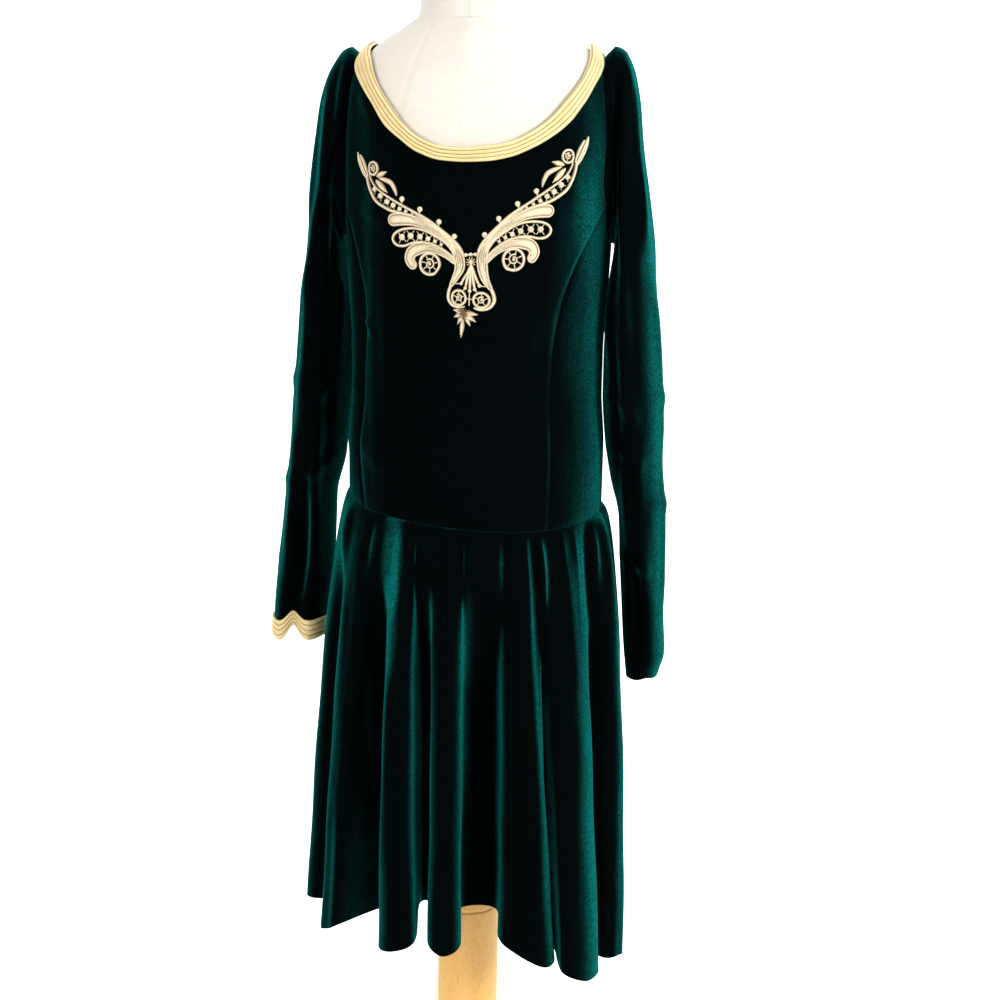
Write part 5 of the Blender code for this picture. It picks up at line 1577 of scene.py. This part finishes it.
def pendant():
    """The star, the fan and the leaves between and under the wings."""
    work = LaceWork()
    work.mirrored(one_wing)
    work.strip(smooth_route(TOP_BAR), (1.8, 1.8), 1.5)
    for place in TOP_BAR[1:4]:
        work.dome(place, 1.7, 2.0, sides=10)
    for k in range(STAR_RAYS):
        angle = TWO_PI * k / STAR_RAYS
        work.thread([(0, 0), (4.7 * math.cos(angle), 4.7 * math.sin(angle))], 4, (1.1, 0.9), 1.3)
    work.dome((0, 0), 1.6, 2.2)
    for end in FAN_ENDS:
        work.thread([(0, -1), (end[0] * 0.42, -11), end], 8, (1.1, 2.4, 3.0, 2.2), 1.5)
        work.dome(end, 1.7, 1.8, sides=10)
    for tie in FAN_TIES:
        work.thread(tie, 6, (1.2, 1.2), 1.2)
    work.leaf(*DROP, 2.0, 2)
    for tip, width in PETALS:
        work.leaf(FLOWER_AT, tip, width, 1.8)
    work.sway()
    return work


def dark_flower():
    """The small flower: long and short threads in turn round a bead."""
    work = LaceWork()
    for k in range(FLOWER_THREADS):
        angle = TWO_PI * k / FLOWER_THREADS
        arm = np.array([math.cos(angle), math.sin(angle)]) * (6.6 if k % 2 else 4.6)
        work.thread([FLOWER_AT, FLOWER_AT + arm], 4, (1.5, 0.8), 1.2, lift=2.6)
    work.dome(FLOWER_AT, 1.6, 1.6, lift=2.8)
    work.sway()
    return work


applique = pendant().sewn_on("applique_lace", lace, ["applique"])
flower = dark_flower().sewn_on("applique_flower", lace_flower)
print("applique faces:", len(applique.data.polygons), len(flower.data.polygons))

# %% [markdown]
# The dress form is a padded torso in linen on a turned wooden column. Its cover is sewn from
# panels, so fine seams run up it and one runs round the foot of the neck.

# %% Linen and wood
LINEN = (0.79, 0.735, 0.64)
LINEN_LIGHT = (0.885, 0.845, 0.765)
WEAVE = 0.9 * MM
WOOD = (0.84, 0.42, 0.105)
WOOD_LIGHT = (0.97, 0.62, 0.20)
WOOD_FLECK = (0.42, 0.18, 0.05)


def make_linen():
    """Plain weave: warp and weft as two crossing waves, with thicker threads here and there."""
    linen = Finish("linen", Roughness=0.9, Specular_IOR_Level=0.2)
    along, across = linen.along()
    uneven = linen.noise(420, 2, 0.6) * 2.2
    warp = (along * (TWO_PI / WEAVE) + uneven).sine() * 0.5 + 0.5
    weft = (across * (TWO_PI / WEAVE) + uneven).sine() * 0.5 + 0.5
    slub = linen.noise(60, 4, 0.65, (1, 1, 2.5))
    linen.colour((slub * 0.8 + warp * weft * 0.35).mix(LINEN, LINEN_LIGHT))
    linen.bump(warp * weft * 0.7 + slub * 0.3, 0.3 * MM, 0.7)
    return linen.material


def make_wood():
    """Beech: long fine grain, broad soft bands and many short dark flecks."""
    wood = Finish("wood", Specular_IOR_Level=0.4)
    grain = wood.noise(70, 5, 0.62, (1, 1, 0.05))
    broad = wood.noise(16, 2, 0.5, (1, 1, 0.12))
    fleck = wood.noise(900, 2, 0.6, (1, 1, 0.16)).stepped(0.56, 0.72)
    shade = (grain * 0.7 + broad * 0.5 - 0.1).mix(WOOD, WOOD_LIGHT)
    wood.colour((fleck * 0.5).mix(shade, WOOD_FLECK))
    wood.rough(0.42 + 0.2 * grain)
    wood.bump(grain * 0.6 + fleck * 0.4, 0.15 * MM, 0.5)
    return wood.material


linen, wood = make_linen(), make_wood()
print("linen and wood nodes:", len(linen.node_tree.nodes), len(wood.node_tree.nodes))

# %% [markdown]
# The torso and everything turned is a stack of rings with a cap at either end. A turned body comes
# from a profile, a short line of radii and heights, and its upper edges are rounded off.

# %% Stacked and turned bodies


def stacked(name, rings, material, slot):
    """A closed body through rings, with a cap on the first and the last."""
    rings = np.array(rings)
    rows, columns = rings.shape[:2]
    last = (rows - 1) * columns
    faces = [*grid_faces(rows, columns, True), range(columns - 1, -1, -1),
             range(last, last + columns)]
    closed = np.concatenate([rings, rings[:, :1]], axis=1)
    uv = np.stack([line_lengths(closed, 1)[:, :-1], line_lengths(rings, 0)], axis=-1)
    name_of_piece = name + ("_turned" if slot == "wood" else "_cover")
    return make_piece(name_of_piece, rings.reshape(-1, 3), faces, uv.reshape(-1, 2), material,
                      [name])


def turned(name, profile, points, material, slot, squash=1.0):
    """A body turned round Z from a line of (radius, height) places."""
    angle = np.linspace(0, TWO_PI, points, endpoint=False)
    rings = [np.stack([r * np.sin(angle), -r * squash * np.cos(angle), np.full(points, z)], axis=1)
             for r, z in profile]
    return stacked(name, rings, material, slot)


def rounded_edge(radius, top, rounding, steps=10):
    """Places of a profile round its upper edge."""
    angle = np.linspace(0, math.pi / 2, steps)
    return [(radius - rounding + rounding * math.cos(t), top - rounding + rounding * math.sin(t))
            for t in angle]


print("a rounded edge has", len(rounded_edge(1.0, 1.0, 0.1)), "places")

# %% [markdown]
# The torso's rings follow the body's table and sink in along the seams of its cover. The neck, the
# column and the base are turned, and a shallow groove runs round the column.

# %% Form, column and base
FORM_POINTS = 180
TORSO_FOOT = 18 * MM            # the torso's lowest part, where its levels lie closer
COVER_SEAMS = (-140, -90, -38, 0, 38, 90, 140, 180)
COVER_SEAM_DEPTH = 0.7 * MM
COVER_SEAM_WIDTH = 0.9          # in degrees
NECK_HEIGHT = 92 * MM
NECK_HALF_WIDTH = 59 * MM
NECK_FLARE = ((62 * MM, 0.0), (60 * MM, 12 * MM), (59 * MM, 40 * MM))
NECK_SQUASH = 0.88
NECK_ROUNDING = 8 * MM
COLUMN_RADIUS = 33 * MM
GROOVE_HEIGHT = 438 * MM
GROOVE_DEPTH = 1.2 * MM
GROOVE_STEPS = 2.2              # half its width, in steps of the profile
BASE_RADIUS = 165 * MM
BASE_THICKNESS = 26 * MM
BASE_ROUNDING = 6 * MM
BASE_CHAMFER = 2 * MM


def make_torso():
    """The padded body with the seams of its cover."""
    angles = np.linspace(0, 360, FORM_POINTS, endpoint=False)
    low, high = TORSO.rows[0, 0], TORSO.rows[-1, 0]
    levels = np.concatenate([np.linspace(low, low + TORSO_FOOT, 8)[:-1],
                             np.linspace(low + TORSO_FOOT, high, 120)])
    seam = sum(np.exp(-(wrapped(angles - at) / COVER_SEAM_WIDTH) ** 2) for at in COVER_SEAMS)
    sunk = (seam * COVER_SEAM_DEPTH)[:, None]
    rings = [body_point(angles, level) - body_normal(angles, level) * sunk for level in levels]
    torso = stacked("form_torso", rings, linen, "linen")
    return torso


def make_neck():
    """The neck, flared a little at its foot, with a rounded cap."""
    foot = TORSO.rows[-1, 1] + SEAM_GAP
    flare = Table("rise radius", [(rise, radius) for radius, rise in NECK_FLARE])
    rises = np.linspace(0, NECK_HEIGHT - NECK_ROUNDING, 40)[:-1]
    profile = [(float(flare.read("radius", rise)), foot + rise) for rise in rises]
    profile += rounded_edge(NECK_HALF_WIDTH, foot + NECK_HEIGHT, NECK_ROUNDING)
    return turned("form_neck", profile, 120, linen, "linen", NECK_SQUASH)


def make_stand():
    """The column with its turned groove, and the base."""
    groove = [(COLUMN_RADIUS - GROOVE_DEPTH * math.exp(-(step / GROOVE_STEPS) ** 2),
               GROOVE_HEIGHT + step * GROOVE_DEPTH / GROOVE_STEPS) for step in range(-6, 7)]
    column_profile = [(COLUMN_RADIUS, BASE_THICKNESS + SEAM_GAP), *groove,
                      (COLUMN_RADIUS, TORSO.rows[0, 0] - SEAM_GAP)]
    base_profile = [(BASE_RADIUS - BASE_CHAMFER, 0.0), (BASE_RADIUS, BASE_CHAMFER),
                    *rounded_edge(BASE_RADIUS, BASE_THICKNESS, BASE_ROUNDING)]
    return (turned("column", column_profile, 96, wood, "wood"),
            turned("base", base_profile, 180, wood, "wood"))


form = [make_torso(), make_neck(), *make_stand()]
print("form pieces:", [piece.name for piece in form])

# The cuts are measured along the grids themselves.

# %% Flat cuts


def declare_sheet(piece, grid, held, rests_on, closed=False, with_pieces=()):
    around = np.concatenate([grid, grid[:, :1]], axis=1) if closed else grid
    width = float(line_lengths(around, 1)[:, -1].max())
    length = float(line_lengths(grid, 0)[-1].max())
    a, b = np.diff(around, axis=1)[:-1], np.diff(around, axis=0)[:, :-1]
    area = float(np.linalg.norm(np.cross(a, b), axis=2).sum())
    area = min(area, width * length)
    print(f"{piece.name}: cut {width / MM:.0f} x {length / MM:.0f} mm, {area:.3f} square metres")


declare_sheet(*bodice["bodice_front"], held="stretched", rests_on=["form_torso"],
              with_pieces=[neck_trim, applique, flower])
for name in ("bodice_side_right", "bodice_side_left", "bodice_back"):
    declare_sheet(*bodice[name], held="stretched", rests_on=["form_torso"])
for name in ("skirt_front", "skirt_back"):
    declare_sheet(*skirt[name], held="hung", rests_on=["bodice_front", "bodice_back"])
for sleeve, trim in ((sleeve_right, cuff_right), (sleeve_left, cuff_left)):
    declare_sheet(sleeve[0], sleeve[1], held="hung", rests_on=["bodice_front", "bodice_back"],
                  closed=True, with_pieces=[trim])

# %% [markdown]
# The room is a plain pale floor that runs up behind the stand in one sweep, as in a photo
# studio. A wide lamp overhead lights the sweep and hardly touches the upright cloth; a large
# lamp on the camera's right models the folds, and a weak one on its left keeps the shadows open.

# %% Floor and light
FLOOR_HALF = 9.0
SWEEP_START, SWEEP_RADIUS, SWEEP_TOP = 2.6, 1.6, 7.0
GLOW_FROM, GLOW_TO = 0.2, 0.7   # how far behind the stand the sweep starts to glow, in metres
ROOM_LIGHT = 0.42
LAMPS = (
    # name, place, aimed at, size, power
    ("right_lamp", (2.4, -1.5, 1.8), (0.0, 0.0, 0.95), 0.9, 56),
    ("left_lamp", (-2.4, -2.2, 1.8), (0.0, 0.0, 0.9), 1.4, 34),
    ("top_lamp", (0.3, -0.3, 4.0), (0.0, 0.0, 0.0), 3.0, 60),
)


def make_room():
    """A sweep of floor and back, a dim sky and the lamps."""
    turn = np.linspace(0, math.pi / 2, 13)
    profile = [(-FLOOR_HALF, 0.0)]
    profile += [(SWEEP_START + SWEEP_RADIUS * math.sin(t), SWEEP_RADIUS * (1 - math.cos(t)))
                for t in turn]
    profile.append((SWEEP_START + SWEEP_RADIUS, SWEEP_TOP))
    points = [(x, y, z - MM) for y, z in profile for x in (-FLOOR_HALF, FLOOR_HALF)]
    faces = [(2 * i, 2 * i + 1, 2 * i + 3, 2 * i + 2) for i in range(len(profile) - 1)]
    mesh = bpy.data.meshes.new("floor")
    mesh.from_pydata(points, [], faces)
    mesh.shade_smooth()
    floor = add_object("floor", mesh)
    pale = Finish("pale_floor", Roughness=0.9, Base_Color=(0.93, 0.93, 0.93), Emission_Strength=1.0)
    glow = pale.xyz()[1].stepped(GLOW_FROM, GLOW_TO).mix((0.0, 0.0, 0.0), (1.0, 1.0, 1.0))
    pale.tree.links.new(glow.socket, pale.shader.inputs["Emission Color"])
    mesh.materials.append(pale.material)
    world = bpy.data.worlds.new("studio")
    bpy.context.scene.world = world
    world.use_nodes = True
    sky = world.node_tree.nodes["Background"]
    sky.inputs["Color"].default_value = (1.0, 1.0, 1.0, 1.0)
    sky.inputs["Strength"].default_value = ROOM_LIGHT
    for name, place, aim, size, power in LAMPS:
        light = bpy.data.lights.new(name, "AREA")
        light.shape = "DISK"
        light.size = size
        light.energy = power
        lamp = add_object(name, light)
        lamp.location = place
        lamp.rotation_mode = "QUATERNION"
        lamp.rotation_quaternion = (Vector(aim) - Vector(place)).to_track_quat("-Z", "Y")
    bpy.context.scene.view_settings.view_transform = "Standard"


make_room()
print("lamps:", [row[0] for row in LAMPS])

# %% [markdown]
